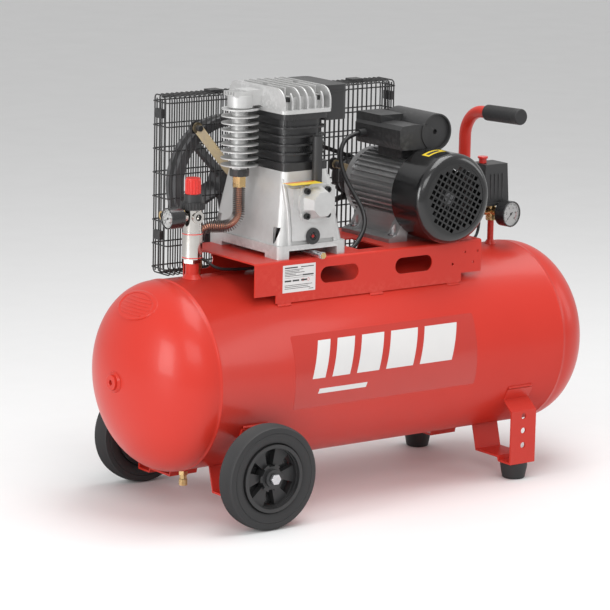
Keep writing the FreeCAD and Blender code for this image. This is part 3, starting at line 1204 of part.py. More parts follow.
def switch():
    x = SWITCH_X
    z0 = SWITCH_POST_TOP
    a = math.radians(-90 + GAUGE_TURN)
    d = (math.cos(a), math.sin(a), 0)
    man = [hexagon((x, 0, z0), Z_AX, 20.0, 10), cyl((x, 0, z0 + 10), Z_AX, 9.5, BOX_BASE - z0 - 10),
           Part.makeCylinder(8.5, 20, V(x, 0, z0 + 19), V(*d)), cyl((x, 0, z0 + 19), V(-1, 0, 0), 7.5, 20),
           cyl((x, 0, z0 + 19), Y_AX, 7.0, 20)]
    relief = [cyl((x - 20, 0, z0 + 19), V(-1, 0, 0), 6.0, 18), cyl((x - 30, 0, z0 + 6), Z_AX, 5.0, 10)]
    s = fuse(man + relief).cut(cyl((x, 0, z0 - 1), Z_AX, 3.0, 30))
    s = s.cut(cyl((x - 30, 0, z0), Z_AX, TUBE_R, 12))
    add("switch_manifold", s)
    low = [(x - 40, -26), (x + 24, -26), (x + 24, 26), (x - 40, 26)]
    top = [(x - 37, -24), (x + 20, -24), (x + 20, 24), (x - 37, 24)]
    base = Part.makeLoft([Part.makePolygon([V(p[0], p[1], BOX_BASE + 6) for p in low + low[:1]]),
                          Part.makePolygon([V(p[0], p[1], BOX_TOP) for p in top + top[:1]])], True, True)
    plate = box(x - 42, x + 26, -28, 28, BOX_BASE, BOX_BASE + 6)
    ribs = [box(x - 24 + 10 * i, x - 21 + 10 * i, -26.4, -23, BOX_BASE + 14, BOX_TOP - 20) for i in range(4)]
    cable_at = (x - 30, CABLE_Y)
    gland = cyl((cable_at[0], cable_at[1], BOX_BASE - 12), Z_AX, 7.5, 12)
    s = fuse([base, plate, gland] + ribs)
    s = s.cut(box(x - 34, x + 17, -20, 20, BOX_BASE + 10, BOX_TOP - 4))
    s = s.cut(cyl((x - 26, 0, BOX_TOP - 10), Z_AX, 7.0 + RUN_CLEAR, 30))
    s = s.cut(cyl((cable_at[0], cable_at[1], BOX_BASE - 20), Z_AX, CORD_R, 20))
    add("pressure_switch", s)
    knob = fuse([cyl((x - 26, 0, BOX_TOP - 9), Z_AX, 7.0, 9.5),
                 cyl((x - 26, 0, BOX_TOP + MOVE_GAP), Z_AX, 8.0, 10),
                 cyl((x - 26, 0, BOX_TOP + 10), Z_AX, 10.5, 4)])
    add("switch_knob", knob)
    gauge("gauge_right", (x, 0, z0 + 19), d, GAUGE_LARGE_R, 32.5, 24.5, 20)


# ---- cords ----
def cords():
    """The motor's lead to the switch, and the thin unloader tube from the manifold to the check valve."""
    xb = MOTOR_X - 83
    yb = BOX_Y1 - 32
    zb = MOTOR_Z + MOTOR_FIN_R + BOX_RISE + 22
    xs, ys = SWITCH_X - 30, CABLE_Y
    top = AXIS_Z + TANK_R
    pts = [(xb, yb, zb), (43, 55, 690), (22, 50, 670), (16, 42, 640), (21, 30, 609), (29, 10, 579),
           (32, -14, 553),
           (22, -37, 528), (0, -50, 504), (-28, -57, 484), (-60, -56, 475), (-88, -40, 473), (-97, -10, 473),
           (-82, 17, 472), (-52, 30, 470), (-17, 32, 467), (18, 28, 465), (54, 20, 464), (90, 16, 464),
           (126, 18, 464), (162, 22, 463), (198, 20, 461), (234, 16, 461), (268, 13, 460), (xs - 41, ys, 459),
           (xs - 15, ys, top + 22), (xs, ys, top + 48), (xs, ys, BOX_BASE - 8)]
    add("motor_cable", rod(pts, cord_radii(pts), CORD_R))
    base = AXIS_Z + math.sqrt(TANK_R ** 2 - VALVE_Y ** 2) + 36
    xm = SWITCH_X - 30
    tube = [(xm, 0, SWITCH_POST_TOP + 12), (xm, 0, top + 24), (xm - 30, -8, top + 8), (xm - 84, -14, top + 8)]
    x = xm - 84
    side = 1
    stop = VALVE_X + 56
    n = int((x - stop) / 56)
    for i in range(n):
        x -= (xm - 84 - stop) / n
        side = -side
        tube.append((x, -12 + 4 * side, top + 8 + (side > 0)))
    tube += [(VALVE_X + 16, -8, top + 14), (VALVE_X, 4, base), (VALVE_X, VALVE_Y - 10, base)]
    add("unloader_tube", rod(tube, cord_radii(tube), TUBE_R))


def build():
    tank()
    drain_valve()
    platform()
    supports()
    wheels()
    feet()
    crankcase()
    crank_cover()
    pump_screws()
    crankshaft()
    pistons()
    cylinder_block()
    cylinder_head()
    air_filter()
    sight_glass()
    oil_drain()
    breather()
    aftercooler()
    delivery()
    flywheel()
    v_belt()
    motor()
    fan()
    fan_cover()
    terminal_box()
    mount_bolts()
    guard()
    guard_stays()
    handle()
    regulator()
    switch()
    cords()
    return PARTS


def bounds(parts):
    b = FreeCAD.BoundBox()
    for solids in parts.values():
        for s in solids:
            b.add(s.optimalBoundingBox(True, False))
    return b


def shift(parts):
    """The move that puts the origin at the middle of the bounding box's bottom face."""
    b = bounds(parts)
    return V(-(b.XMin + b.XMax) / 2, -(b.YMin + b.YMax) / 2, -b.ZMin)


def export(parts):
    os.makedirs("parts", exist_ok=True)
    move = shift(parts)
    for name, solids in parts.items():
        shape = solids[0] if len(solids) == 1 else Part.makeCompound(solids)
        shape = shape.copy()
        shape.translate(move)
        shape.exportStep("parts/" + name + ".step")
    return move


if __name__ == "__main__":
    export(build())
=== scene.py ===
# %% [markdown]
# # A belt-driven air compressor on a wheeled tank
# A piston pump with two upright cylinders and an electric motor stand on a red pressure tank.
# The CAD model already gives every part its true size and place, so this script adds the looks:
# finishes, rounded edges, printed labels, weld beads, gauge dials and smooth cables.

# %% Load the frame
import json
import math
import bmesh
import bpy
from mathutils import Matrix, Vector


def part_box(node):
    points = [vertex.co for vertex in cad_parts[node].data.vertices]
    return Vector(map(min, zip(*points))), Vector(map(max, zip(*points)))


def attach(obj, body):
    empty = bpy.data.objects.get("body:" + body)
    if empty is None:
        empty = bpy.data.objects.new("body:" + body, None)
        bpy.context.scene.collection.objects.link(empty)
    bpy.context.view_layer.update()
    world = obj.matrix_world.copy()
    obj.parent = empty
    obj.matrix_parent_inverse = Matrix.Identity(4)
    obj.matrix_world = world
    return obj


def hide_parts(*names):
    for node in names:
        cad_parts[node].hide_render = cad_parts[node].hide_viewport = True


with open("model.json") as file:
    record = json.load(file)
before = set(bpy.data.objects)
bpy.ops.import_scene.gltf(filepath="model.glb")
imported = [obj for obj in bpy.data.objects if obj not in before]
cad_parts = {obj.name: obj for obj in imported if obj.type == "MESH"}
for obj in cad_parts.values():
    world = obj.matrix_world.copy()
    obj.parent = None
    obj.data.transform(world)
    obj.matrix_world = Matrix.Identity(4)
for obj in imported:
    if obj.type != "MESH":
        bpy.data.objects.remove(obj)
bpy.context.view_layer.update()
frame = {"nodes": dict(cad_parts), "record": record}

MM = 0.001
body_of = {n: b for b, nodes in frame["record"]["behaviour"]["bodies"].items() for n in nodes}
slot_of = {s["node"]: s["material_slot"] for s in frame["record"]["subparts"]}

# %% [markdown]
# ## Camera
# A long lens from far away keeps the tank's sides nearly parallel, so its length reads true.
# The camera's axes are built from two angles and a slight roll, so the numbers stay readable.

# %% Camera
CAMERA_PLACE = Vector((-3.8877, -5.1541, 1.6652))
HEADING, DIP, ROLL = math.radians(36.38), math.radians(11.43), math.radians(1.19)
ahead = Vector((math.sin(HEADING) * math.cos(DIP), math.cos(HEADING) * math.cos(DIP),
    -math.sin(DIP)))
level = ahead.cross(Vector((0, 0, 1))).normalized()
upward = level.cross(ahead)
across = level * math.cos(ROLL) + upward * math.sin(ROLL)
upright = upward * math.cos(ROLL) - level * math.sin(ROLL)
camera_data = bpy.data.cameras.new("camera")
camera_data.lens = 195.6
camera_data.sensor_width = 36.0
camera_data.clip_end = 60.0
camera = bpy.data.objects.new("camera", camera_data)
camera.matrix_world = Matrix.Translation(CAMERA_PLACE) @ Matrix(
    (across, upright, -ahead)).transposed().to_4x4()
bpy.context.scene.collection.objects.link(camera)
bpy.context.scene.camera = camera

# %% [markdown]
# ## Studio
# A pale floor and four large soft lights give broad highlights on the round tank.
# Small lamps would give hard spots, which enamel and chrome would show at once.

# %% Studio
def soft_light(name, place, aim, size, power):
    data = bpy.data.lights.new(name, "AREA")
    data.shape = "RECTANGLE"
    data.size, data.size_y = size
    data.energy = power
    lamp = bpy.data.objects.new(name, data)
    lamp.location = place
    lamp.rotation_euler = (Vector(aim) - Vector(place)).to_track_quat("-Z", "Y").to_euler()
    bpy.context.scene.collection.objects.link(lamp)


soft_light("key_light", (-2.2, -3.0, 2.6), (0, 0, 0.45), (2.4, 1.6), 44)
soft_light("top_light", (0.3, -0.3, 3.0), (0, 0, 0.5), (2.6, 1.4), 50)
soft_light("side_light", (3.4, -1.6, 1.8), (0.1, 0, 0.4), (1.2, 2.2), 20)
soft_light("left_fill", (-3.4, -0.4, 1.2), (-0.4, 0, 0.5), (1.1, 1.6), 46)
world = bpy.data.worlds.new("studio")
world.use_nodes = True
world.node_tree.nodes["Background"].inputs["Color"].default_value = (1.0, 1.0, 1.0, 1.0)
world.node_tree.nodes["Background"].inputs["Strength"].default_value = 0.60
bpy.context.scene.world = world
bpy.context.scene.view_settings.view_transform = "Standard"

# %% [markdown]
# ## Small tools for node trees
# `put` makes a node, sets its properties and fills its sockets with values or links.
# One helper keeps the material recipes short enough to read as recipes.

# %% Node helper
def put(tree, kind, sockets=None, **settings):
    made = tree.nodes.new(kind)
    for key, value in settings.items():
        setattr(made, key, value)
    for key, value in (sockets or {}).items():
        if isinstance(value, bpy.types.NodeSocket):
            tree.links.new(value, made.inputs[key])
        else:
            made.inputs[key].default_value = value
    return made


def maths(tree, operation, *values):
    """The output of a maths node on one, two or three values."""
    return put(tree, "ShaderNodeMath", dict(enumerate(values)), operation=operation).outputs[0]


def object_place(tree):
    """Object coordinates, which stay with a piece as it moves."""
    return put(tree, "ShaderNodeTexCoord").outputs["Object"]


def new_group(name, inputs, outputs):
    """A shader group with named float inputs and outputs, and its two end nodes."""
    group = bpy.data.node_groups.new(name, "ShaderNodeTree")
    for label, value in inputs:
        group.interface.new_socket(label, in_out="INPUT",
            socket_type="NodeSocketFloat").default_value = value
    for label in outputs:
        group.interface.new_socket(label, in_out="OUTPUT", socket_type="NodeSocketFloat")
    return group, group.nodes.new("NodeGroupInput"), group.nodes.new("NodeGroupOutput")


# %% [markdown]
# ## Grain that every finish shares
# Paint, castings and plastic all vary in two ways: broad patches, and a fine texture.
# The group gives both as masks from object coordinates, so a finish only sets its own scales.
# A second group finds outside corners, where handling polishes or chips a finish.

# %% Grain and wear groups
grain_group, start, end = new_group("surface_grain", [("Patch Scale", 6.0), ("Grain Scale", 400.0),
    ("Stretch X", 1.0), ("Stretch Y", 1.0), ("Stretch Z", 1.0)], ["Patch", "Grain"])
place = object_place(grain_group)
stretch = put(grain_group, "ShaderNodeCombineXYZ", {"X": start.outputs["Stretch X"],
    "Y": start.outputs["Stretch Y"], "Z": start.outputs["Stretch Z"]})
where = put(grain_group, "ShaderNodeVectorMath", {0: place, 1: stretch.outputs[0]},
    operation="MULTIPLY").outputs[0]
patch = put(grain_group, "ShaderNodeTexNoise", {"Vector": where,
    "Scale": start.outputs["Patch Scale"], "Detail": 5.0, "Roughness": 0.6})
fine = put(grain_group, "ShaderNodeTexNoise", {"Vector": where,
    "Scale": start.outputs["Grain Scale"], "Detail": 3.0})
spread = put(grain_group, "ShaderNodeMapRange", {"Value": patch.outputs["Fac"], "From Min": 0.3,
    "From Max": 0.7})
grain_group.links.new(spread.outputs[0], end.inputs["Patch"])
grain_group.links.new(fine.outputs["Fac"], end.inputs["Grain"])

wear_group, start, end = new_group("corner_wear", [("Amount", 0.5)], ["Wear"])
shape = put(wear_group, "ShaderNodeNewGeometry")
break_up = put(wear_group, "ShaderNodeTexNoise", {
    "Vector": object_place(wear_group), "Scale": 120.0, "Detail": 4.0})
corner = put(wear_group, "ShaderNodeMapRange", {"Value": shape.outputs["Pointiness"],
    "From Min": 0.53, "From Max": 0.64})
patchy = put(wear_group, "ShaderNodeMapRange", {"Value": break_up.outputs["Fac"], "From Min": 0.45,
    "From Max": 0.6})
both = maths(wear_group, "MULTIPLY", corner.outputs[0], patchy.outputs[0])
scaled = maths(wear_group, "MULTIPLY", both, start.outputs["Amount"])
wear_group.links.new(scaled, end.inputs["Wear"])

dust_group, start, end = new_group("settled_dust", [("Amount", 0.1)], ["Dust"])
facing = put(dust_group, "ShaderNodeSeparateXYZ", {0: put(dust_group,
    "ShaderNodeNewGeometry").outputs["Normal"]})
upper = put(dust_group, "ShaderNodeMapRange", {"Value": facing.outputs["Z"], "From Min": 0.4,
    "From Max": 1.0})
cloud = put(dust_group, "ShaderNodeTexNoise", {
    "Vector": object_place(dust_group), "Scale": 22.0, "Detail": 6.0})
lay = maths(dust_group, "MULTIPLY", upper.outputs[0], cloud.outputs["Fac"])
total = maths(dust_group, "MULTIPLY", lay, start.outputs["Amount"])
dust_group.links.new(total, end.inputs["Dust"])

# %% [markdown]
# ## One recipe for most finishes
# Each finish mixes two close colours by the patch mask, lightens worn corners and dusty tops,
# and takes its fine bump from the grain. Numbers that are the same all over a surface,
# such as coat and metal, are set straight on the shader.

# %% Finish recipe
def finish(name, colour, second, rough, rough_spread=0.06, metallic=0.0, coat=0.0, patch_scale=6.0,
        grain_scale=400.0, bump=0.00008, stretch_by=(1, 1, 1), worn=None, wear=0.5, dust=0.05,
        shine=0.5):
    material = bpy.data.materials.new(name)
    material.use_nodes = True
    tree = material.node_tree
    shader = tree.nodes["Principled BSDF"]
    grain = put(tree, "ShaderNodeGroup", node_tree=grain_group)
    for key, value in zip(("Patch Scale", "Grain Scale", "Stretch X", "Stretch Y", "Stretch Z"),
                          (patch_scale, grain_scale, *stretch_by)):
        grain.inputs[key].default_value = value
    base = put(tree, "ShaderNodeMix", {0: grain.outputs["Patch"], 6: (*colour, 1), 7: (*second, 1)},
        data_type="RGBA")
    corners = put(tree, "ShaderNodeGroup", node_tree=wear_group)
    corners.inputs["Amount"].default_value = wear if worn else 0.0
    rubbed = put(tree, "ShaderNodeMix", {0: corners.outputs["Wear"], 6: base.outputs[2],
        7: (*(worn or colour), 1)}, data_type="RGBA")
    film = put(tree, "ShaderNodeGroup", node_tree=dust_group)
    film.inputs["Amount"].default_value = dust
    topped = put(tree, "ShaderNodeMix", {0: film.outputs["Dust"], 6: rubbed.outputs[2],
        7: (0.42, 0.40, 0.37, 1)}, data_type="RGBA")
    tree.links.new(topped.outputs[2], shader.inputs["Base Color"])
    gloss = put(tree, "ShaderNodeMapRange", {"Value": grain.outputs["Patch"],
        "To Min": rough - rough_spread, "To Max": rough + rough_spread})
    tree.links.new(gloss.outputs[0], shader.inputs["Roughness"])
    relief = put(tree, "ShaderNodeBump", {"Height": grain.outputs["Grain"], "Distance": bump,
        "Strength": 1.0})
    tree.links.new(relief.outputs[0], shader.inputs["Normal"])
    shader.inputs["Metallic"].default_value = metallic
    shader.inputs["Coat Weight"].default_value = coat
    shader.inputs["Coat Roughness"].default_value = 0.12
    shader.inputs["Specular IOR Level"].default_value = shine
    return material


# %% [markdown]
# ## The finishes of this machine
# Red enamel is sprayed thick, so it has a faint orange peel and a soft gloss.
# Castings are shot-blasted and painted silver, which keeps a rougher, sandier grain.
# The motor's shell is extruded, so its grain runs along the shaft.

# %% Finishes
FINISH = {
    "tank_paint": finish("red_enamel", (0.570, 0.034, 0.021), (0.535, 0.030, 0.018), 0.34, 0.03,
        coat=0.12, patch_scale=3.0, grain_scale=150.0, bump=0.00010, worn=(0.66, 0.10, 0.07),
        wear=0.25, dust=0.02, shine=0.28),
    "cast_alloy": finish("silver_casting", (0.60, 0.60, 0.595), (0.50, 0.50, 0.495), 0.42, 0.06,
        metallic=0.45, patch_scale=16.0, grain_scale=620.0, bump=0.00028, worn=(0.75, 0.75, 0.75),
        wear=0.5),
    "black_iron": finish("black_cylinder_enamel", (0.012, 0.012, 0.013), (0.020, 0.020, 0.021),
        0.30, 0.06, coat=0.35, patch_scale=12.0, grain_scale=420.0, bump=0.0003,
        worn=(0.06, 0.06, 0.06), dust=0.06),
    "steel": finish("machined_steel", (0.50, 0.50, 0.51), (0.40, 0.40, 0.41), 0.32, metallic=0.95,
        stretch_by=(1, 0.1, 1)),
    "zinc_yellow": finish("yellow_zinc", (0.46, 0.36, 0.20), (0.30, 0.25, 0.19), 0.32, 0.08,
        metallic=0.9, patch_scale=40.0, bump=0.00005),
    "zinc_bolt": finish("zinc_plate", (0.66, 0.66, 0.68), (0.52, 0.52, 0.54), 0.28, 0.06,
        metallic=0.95, patch_scale=60.0, bump=0.00003),
    "brass": finish("turned_brass", (0.72, 0.52, 0.25), (0.60, 0.42, 0.20), 0.28, 0.07,
        metallic=0.95, patch_scale=50.0, bump=0.00003),
    "copper": finish("drawn_copper", (0.72, 0.31, 0.20), (0.58, 0.24, 0.15), 0.34, 0.08,
        metallic=0.9, patch_scale=45.0, bump=0.00003),
    "fin_metal": finish("thin_fin_sheet", (0.17, 0.16, 0.155), (0.25, 0.21, 0.19), 0.5, 0.08,
        metallic=0.5, patch_scale=26.0),
    "chrome": finish("polished_chrome", (0.64, 0.62, 0.59), (0.56, 0.53, 0.50), 0.10, 0.04,
        metallic=1.0, patch_scale=30.0, bump=0.00001, dust=0.02),
    "black_plastic": finish("charcoal_plastic", (0.030, 0.030, 0.031), (0.023, 0.023, 0.024), 0.44,
        0.05, patch_scale=10.0, grain_scale=900.0, bump=0.00012, worn=(0.10, 0.10, 0.10), wear=0.4),
    "red_knob": finish("red_knob_plastic", (0.68, 0.026, 0.018), (0.60, 0.022, 0.015), 0.28, 0.03,
        coat=0.3, bump=0.00003, dust=0.03),
    "motor_paint": finish("motor_grey", (0.50, 0.50, 0.50), (0.30, 0.30, 0.305), 0.36, 0.08,
        metallic=0.75, patch_scale=26.0, grain_scale=420.0, bump=0.00022, stretch_by=(1, 0.12, 1),
        worn=(0.55, 0.55, 0.55), wear=0.5),
    "black_gloss": finish("gloss_black_enamel", (0.006, 0.006, 0.0065), (0.009, 0.009, 0.0095),
        0.22, 0.04, coat=0.4, grain_scale=160.0, bump=0.00008, dust=0.03),
    "rotor_steel": finish("laminated_steel", (0.34, 0.34, 0.35), (0.26, 0.26, 0.27), 0.4,
        metallic=0.9),
    "tyre_rubber": finish("tyre_rubber", (0.018, 0.018, 0.019), (0.026, 0.026, 0.027), 0.62, 0.08,
        patch_scale=14.0, grain_scale=700.0, bump=0.0002, dust=0.12),
    "rubber": finish("soft_rubber", (0.016, 0.016, 0.017), (0.022, 0.022, 0.023), 0.58, 0.06,
        grain_scale=800.0, bump=0.00015, dust=0.08),
    "gauge_case": finish("gauge_black", (0.014, 0.014, 0.015), (0.018, 0.018, 0.019), 0.25, 0.04,
        coat=0.3, bump=0.00003),
    "wire_black": finish("coated_wire", (0.020, 0.020, 0.021), (0.028, 0.028, 0.029), 0.40, 0.06,
        patch_scale=20.0, dust=0.10),
    "flywheel_grey": finish("flywheel_paint", (0.16, 0.16, 0.165), (0.11, 0.11, 0.115), 0.42, 0.08,
        metallic=0.5, patch_scale=14.0, grain_scale=500.0, bump=0.0002),
    "cable": finish("cable_jacket", (0.014, 0.014, 0.015), (0.019, 0.019, 0.020), 0.45, 0.05,
        bump=0.00005),
}
EXTRA = {
    "panel": finish("gloss_red_panel", (0.50, 0.030, 0.019), (0.47, 0.027, 0.017), 0.20, 0.02,
        coat=0.3, bump=0.00002, dust=0.0),
    "pale_ink": finish("pale_print", (0.72, 0.71, 0.70), (0.66, 0.655, 0.65), 0.34, 0.03,
        bump=0.00002, dust=0.0),
    "dark_ink": finish("dark_print", (0.03, 0.03, 0.03), (0.045, 0.045, 0.045), 0.5, bump=0.00002,
        dust=0.0),
    "yellow": finish("yellow_print", (0.82, 0.60, 0.04), (0.74, 0.54, 0.04), 0.36, bump=0.00002,
        dust=0.0),
    "dial": finish("dial_white", (0.88, 0.88, 0.87), (0.84, 0.84, 0.835), 0.5, bump=0.00001,
        dust=0.0),
    "black_screw": finish("blackened_screw", (0.035, 0.035, 0.036), (0.055, 0.055, 0.056), 0.35,
        0.06, metallic=0.8, patch_scale=60.0, bump=0.00003),
}
print("finishes:", len(FINISH) + len(EXTRA))

# %% [markdown]
# ## Clear covers
# A gauge is read through a flat clear window. It needs no bump, only transmission and a trace
# of unevenness in its polish.

# %% Window material
window = bpy.data.materials.new("clear_window")
window.use_nodes = True
glass = window.node_tree.nodes["Principled BSDF"]
glass.inputs["Transmission Weight"].default_value = 1.0
glass.inputs["IOR"].default_value = 1.2
smear = put(window.node_tree, "ShaderNodeTexNoise", {
    "Vector": object_place(window.node_tree), "Scale": 90.0})
haze = put(window.node_tree, "ShaderNodeMapRange", {"Value": smear.outputs["Fac"], "To Min": 0.01,
    "To Max": 0.05})
window.node_tree.links.new(haze.outputs[0], glass.inputs["Roughness"])

# %% [markdown]
# ## Making a piece
# A piece is a mesh with its place in its vertices, riding on a CAD body.
# Smooth shading runs over gentle curves, and a crease angle keeps real corners sharp.

# %% Piece helpers
def keep(name, mesh, material, crease=35, body="base", stands_for=()):
    """Turns a mesh into a piece of the object."""
    if material is not None:
        mesh.materials.clear()
        mesh.materials.append(material)
    mesh.polygons.foreach_set("use_smooth", [True] * len(mesh.polygons))
    mesh.set_sharp_from_angle(angle=math.radians(crease))
    made = bpy.data.objects.new(name, mesh)
    bpy.context.scene.collection.objects.link(made)
    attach(made, body)
    if stands_for:
        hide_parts(*stands_for)
    return made


def mesh_from(bm, name):
    """A clean mesh from a bmesh, with its normals outwards."""
    bmesh.ops.recalc_face_normals(bm, faces=bm.faces)
    mesh = bpy.data.meshes.new(name)
    bm.verts.index_update()
    mesh.from_pydata([v.co[:] for v in bm.verts], [], [[v.index for v in f.verts]
        for f in bm.faces])
    bm.free()
    return mesh


def round_edges(made, width, angle=38):
    """A small bevel, so that edges catch the light, and normals that keep flat faces flat."""
    bevel = made.modifiers.new("rounded_edges", "BEVEL")
    bevel.width, bevel.segments = width, 2
    bevel.limit_method, bevel.angle_limit = "ANGLE", math.radians(angle)
    bevel.use_clamp_overlap = True
    weighted = made.modifiers.new("flat_faces", "WEIGHTED_NORMAL")
    weighted.keep_sharp = True


CAD_CREASE = 32


def dress(node, width, material):
    """A merged, rounded copy of a CAD part in its finish."""
    bm = bmesh.new()
    bm.from_mesh(frame["nodes"][node].data)
    bmesh.ops.remove_doubles(bm, verts=bm.verts, dist=2e-6)
    bmesh.ops.dissolve_limit(bm, angle_limit=math.radians(0.5), verts=bm.verts, edges=bm.edges)
    mesh = mesh_from(bm, node + "_surface")
    made = keep(node + "_finished", mesh, material or FINISH[slot_of[node]],
        CAD_CREASE, body_of[node], (node,))
    if width:
        round_edges(made, width)


# %% [markdown]
# ## Parts that only need their edges and finish
# Most parts have their true shape already. Each gets a merged copy with a small rounding,
# wider on castings than on machined parts, because a casting can't have a sharp corner.

# %% Dress the CAD parts
ROUNDING = {
    "tank_posts": 0.5, "end_plug": 0.8, "drain_valve_body": 0.5, "drain_valve_knob": 0.4,
    "platform": 0.7, "support_brackets": 0.8, "hub_front": 0.9, "hub_rear": 0.9, "axle_bolts": 0.7,
    "rubber_feet": 1.2, "crankcase": 1.6, "crank_cover": 1.2, "pump_screws": 0.4, "crankshaft": 0.6,
    "piston_front": 0.3, "piston_rear": 0.3, "con_rod_front": 0.5, "con_rod_rear": 0.5,
    "cylinder_block": 1.0, "cylinder_head": 0.9, "air_filter": 1.2, "sight_glass": 0.5,
    "oil_drain_tube": 0.4, "breather_tube": 0.5, "aftercooler": 0.6, "brass_fittings": 0.6,
    "flywheel": 1.0, "motor_pulley": 0.7, "v_belt": 0.5, "motor_body": 0.5, "end_shields": 1.2,
    "motor_rotor": 0.4, "motor_fan": 0.5, "fan_cover": 0.35, "terminal_box": 1.4,
    "mount_bolts": 0.5, "guard_front": 0, "guard_back": 0, "guard_fittings": 0.8,
    "guard_stays": 0.5, "handle_tube": 0.3, "handle_grip": 0.5, "regulator_body": 0.7,
    "regulator_bonnet": 0.4, "regulator_knob": 0.6, "gauge_left": 0.8, "switch_manifold": 0.6,
    "pressure_switch": 1.1, "switch_knob": 0.6, "gauge_right": 0.9,
}
OTHER_FINISH = {"pump_screws": EXTRA["black_screw"], "end_plug": FINISH["tank_paint"]}
for node, millimetres in ROUNDING.items():
    dress(node, millimetres * MM, OTHER_FINISH.get(node))
print("dressed parts:", len(ROUNDING))

# %% [markdown]
# ## Turned shapes
# The tank, tyres, seals and windows are round about one axis. A lathe helper spins a profile of
# (along, radius) pairs; a radius of zero closes the shape with a single vertex.

# %% Lathe helper
def lathe(profile, centre, axis, steps=96):
    """A bmesh of a profile spun about an axis through a point."""
    axis = Vector(axis).normalized()
    side = axis.orthogonal().normalized()
    other = axis.cross(side)
    bm = bmesh.new()
    rings = []
    for along, radius in profile:
        base = Vector(centre) + axis * along
        if radius < 1e-7:
            rings.append([bm.verts.new(base)])
            continue
        turn = [2 * math.pi * i / steps for i in range(steps)]
        rings.append([bm.verts.new(base + side * (radius * math.cos(t)) + other * (
            radius * math.sin(t))) for t in turn])
    for low, high in zip(rings, rings[1:]):
        for i in range(steps):
            j = (i + 1) % steps
            corners = [low[i % len(low)], low[j % len(low)], high[j % len(high)],
                high[i % len(high)]]
            unique = list(dict.fromkeys(corners))
            if len(unique) > 2:
                bm.faces.new(unique)
    return bm


def turned_piece(name, profile, centre, axis, steps, material, crease, body="base"):
    """A piece spun from a profile in millimetres."""
    outline = [(along * MM, radius * MM) for along, radius in profile]
    mesh = mesh_from(lathe(outline, centre, axis, steps), name)
    return keep(name, mesh, material, crease, body)


# %% [markdown]
# ## The pressure tank
# Sheet is rolled into the shell and pressed into two dished ends. The CAD part is right in size,
# but a big glossy curve shows every facet, so the outside is spun again with far finer steps.
# The two girth welds stand proud as low rounded beads.

# %% Tank
shell_low, shell_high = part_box("tank_shell")
head_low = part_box("tank_head_left")[0]
TANK_RADIUS = (shell_high[1] - shell_low[1]) / 2
TANK_AXIS_Z = (shell_high[2] + shell_low[2]) / 2
TANK_LEFT, TANK_RIGHT = shell_low[0], shell_high[0]
DISH = TANK_LEFT - head_low[0]
SKIRT = 9 * MM
BEAD = 1.3 * MM


def dish_profile(count=40):
    """(along, radius) from the pole to the skirt of a dished end."""
    points = []
    for i in range(count + 1):
        t = math.pi / 2 * i / count
        points.append((DISH - SKIRT - (DISH - SKIRT) * math.cos(t), TANK_RADIUS * math.sin(t)))
    return points


def bead_profile(at):
    """A low rounded weld bead across a seam."""
    return [(at + 3.2 * MM * k, TANK_RADIUS + BEAD * math.cos(math.pi / 2 * k) ** 0.7 if abs(
        k) < 1 else TANK_RADIUS) for k in (-1, -0.66, -0.33, 0, 0.33, 0.66, 1)]


left_end = dish_profile()
length = TANK_RIGHT - TANK_LEFT
outline = left_end + bead_profile(DISH) + bead_profile(DISH + length)
outline += [(2 * DISH + length - x, r) for x, r in reversed(left_end)]
tank_mesh = mesh_from(lathe(outline, (TANK_LEFT - DISH, 0, TANK_AXIS_Z), (1, 0, 0), 224),
    "tank_skin")
keep("tank_skin", tank_mesh, FINISH["tank_paint"], 50,
     stands_for=("tank_shell", "tank_head_left", "tank_head_right"))
print("tank radius %.3f m, length %.3f m" % (TANK_RADIUS, 2 * DISH + length))

# %% [markdown]
# ## Shapes laid on the tank
# Printed film follows the round shell. A flat outline in (along, round) distances is cut into
# narrow strips, then each vertex is wrapped onto the cylinder and given a hair of thickness.

# %% Film on the shell
FILM, STRIP = 0.12 * MM, 4 * MM


def wrap_on_tank(name, outlines, material, lift):
    """Flat outlines of (x, arc length from the top) wrapped onto the tank's front."""
    bm = bmesh.new()
    for points in outlines:
        bm.faces.new([bm.verts.new((x, s, 0)) for x, s in points])
    span = [s for points in outlines for _, s in points]
    cut = min(span) + STRIP
    while cut < max(span):
        bmesh.ops.bisect_plane(bm, geom=bm.verts[:] + bm.edges[:] + bm.faces[:],
            plane_co=(0, cut, 0), plane_no=(0, 1, 0))
        cut += STRIP
    solid = bmesh.ops.extrude_face_region(bm, geom=bm.faces[:])
    for v in solid["geom"]:
        if isinstance(v, bmesh.types.BMVert):
            v.co.z = lift
    for v in bm.verts:
        radius = TANK_RADIUS + v.co.z - (0 if v.co.z > 0 else 0.05 * MM)
        turn = v.co.y / TANK_RADIUS
        v.co = Vector((v.co.x, -radius * math.sin(turn), TANK_AXIS_Z + radius * math.cos(turn)))
    return keep(name, mesh_from(bm, name), material, 40)


def rounded_rectangle(x0, x1, s0, s1, r, steps=6):
    points = []
    for cx, cy, start_angle in ((x1 - r, s1 - r, 0), (x0 + r, s1 - r, 90), (x0 + r, s0 + r, 180),
            (x1 - r, s0 + r, 270)):
        for i in range(steps + 1):
            a = math.radians(start_angle + 90 * i / steps)
            points.append((cx + r * math.cos(a), cy + r * math.sin(a)))
    return points


def slanted_bar(x, width, s0, s1, lean):
    return [(x, s1), (x + width, s1), (x + width + lean, s0), (x + lean, s0)]


def round_by(degrees):
    return math.radians(degrees) * TANK_RADIUS


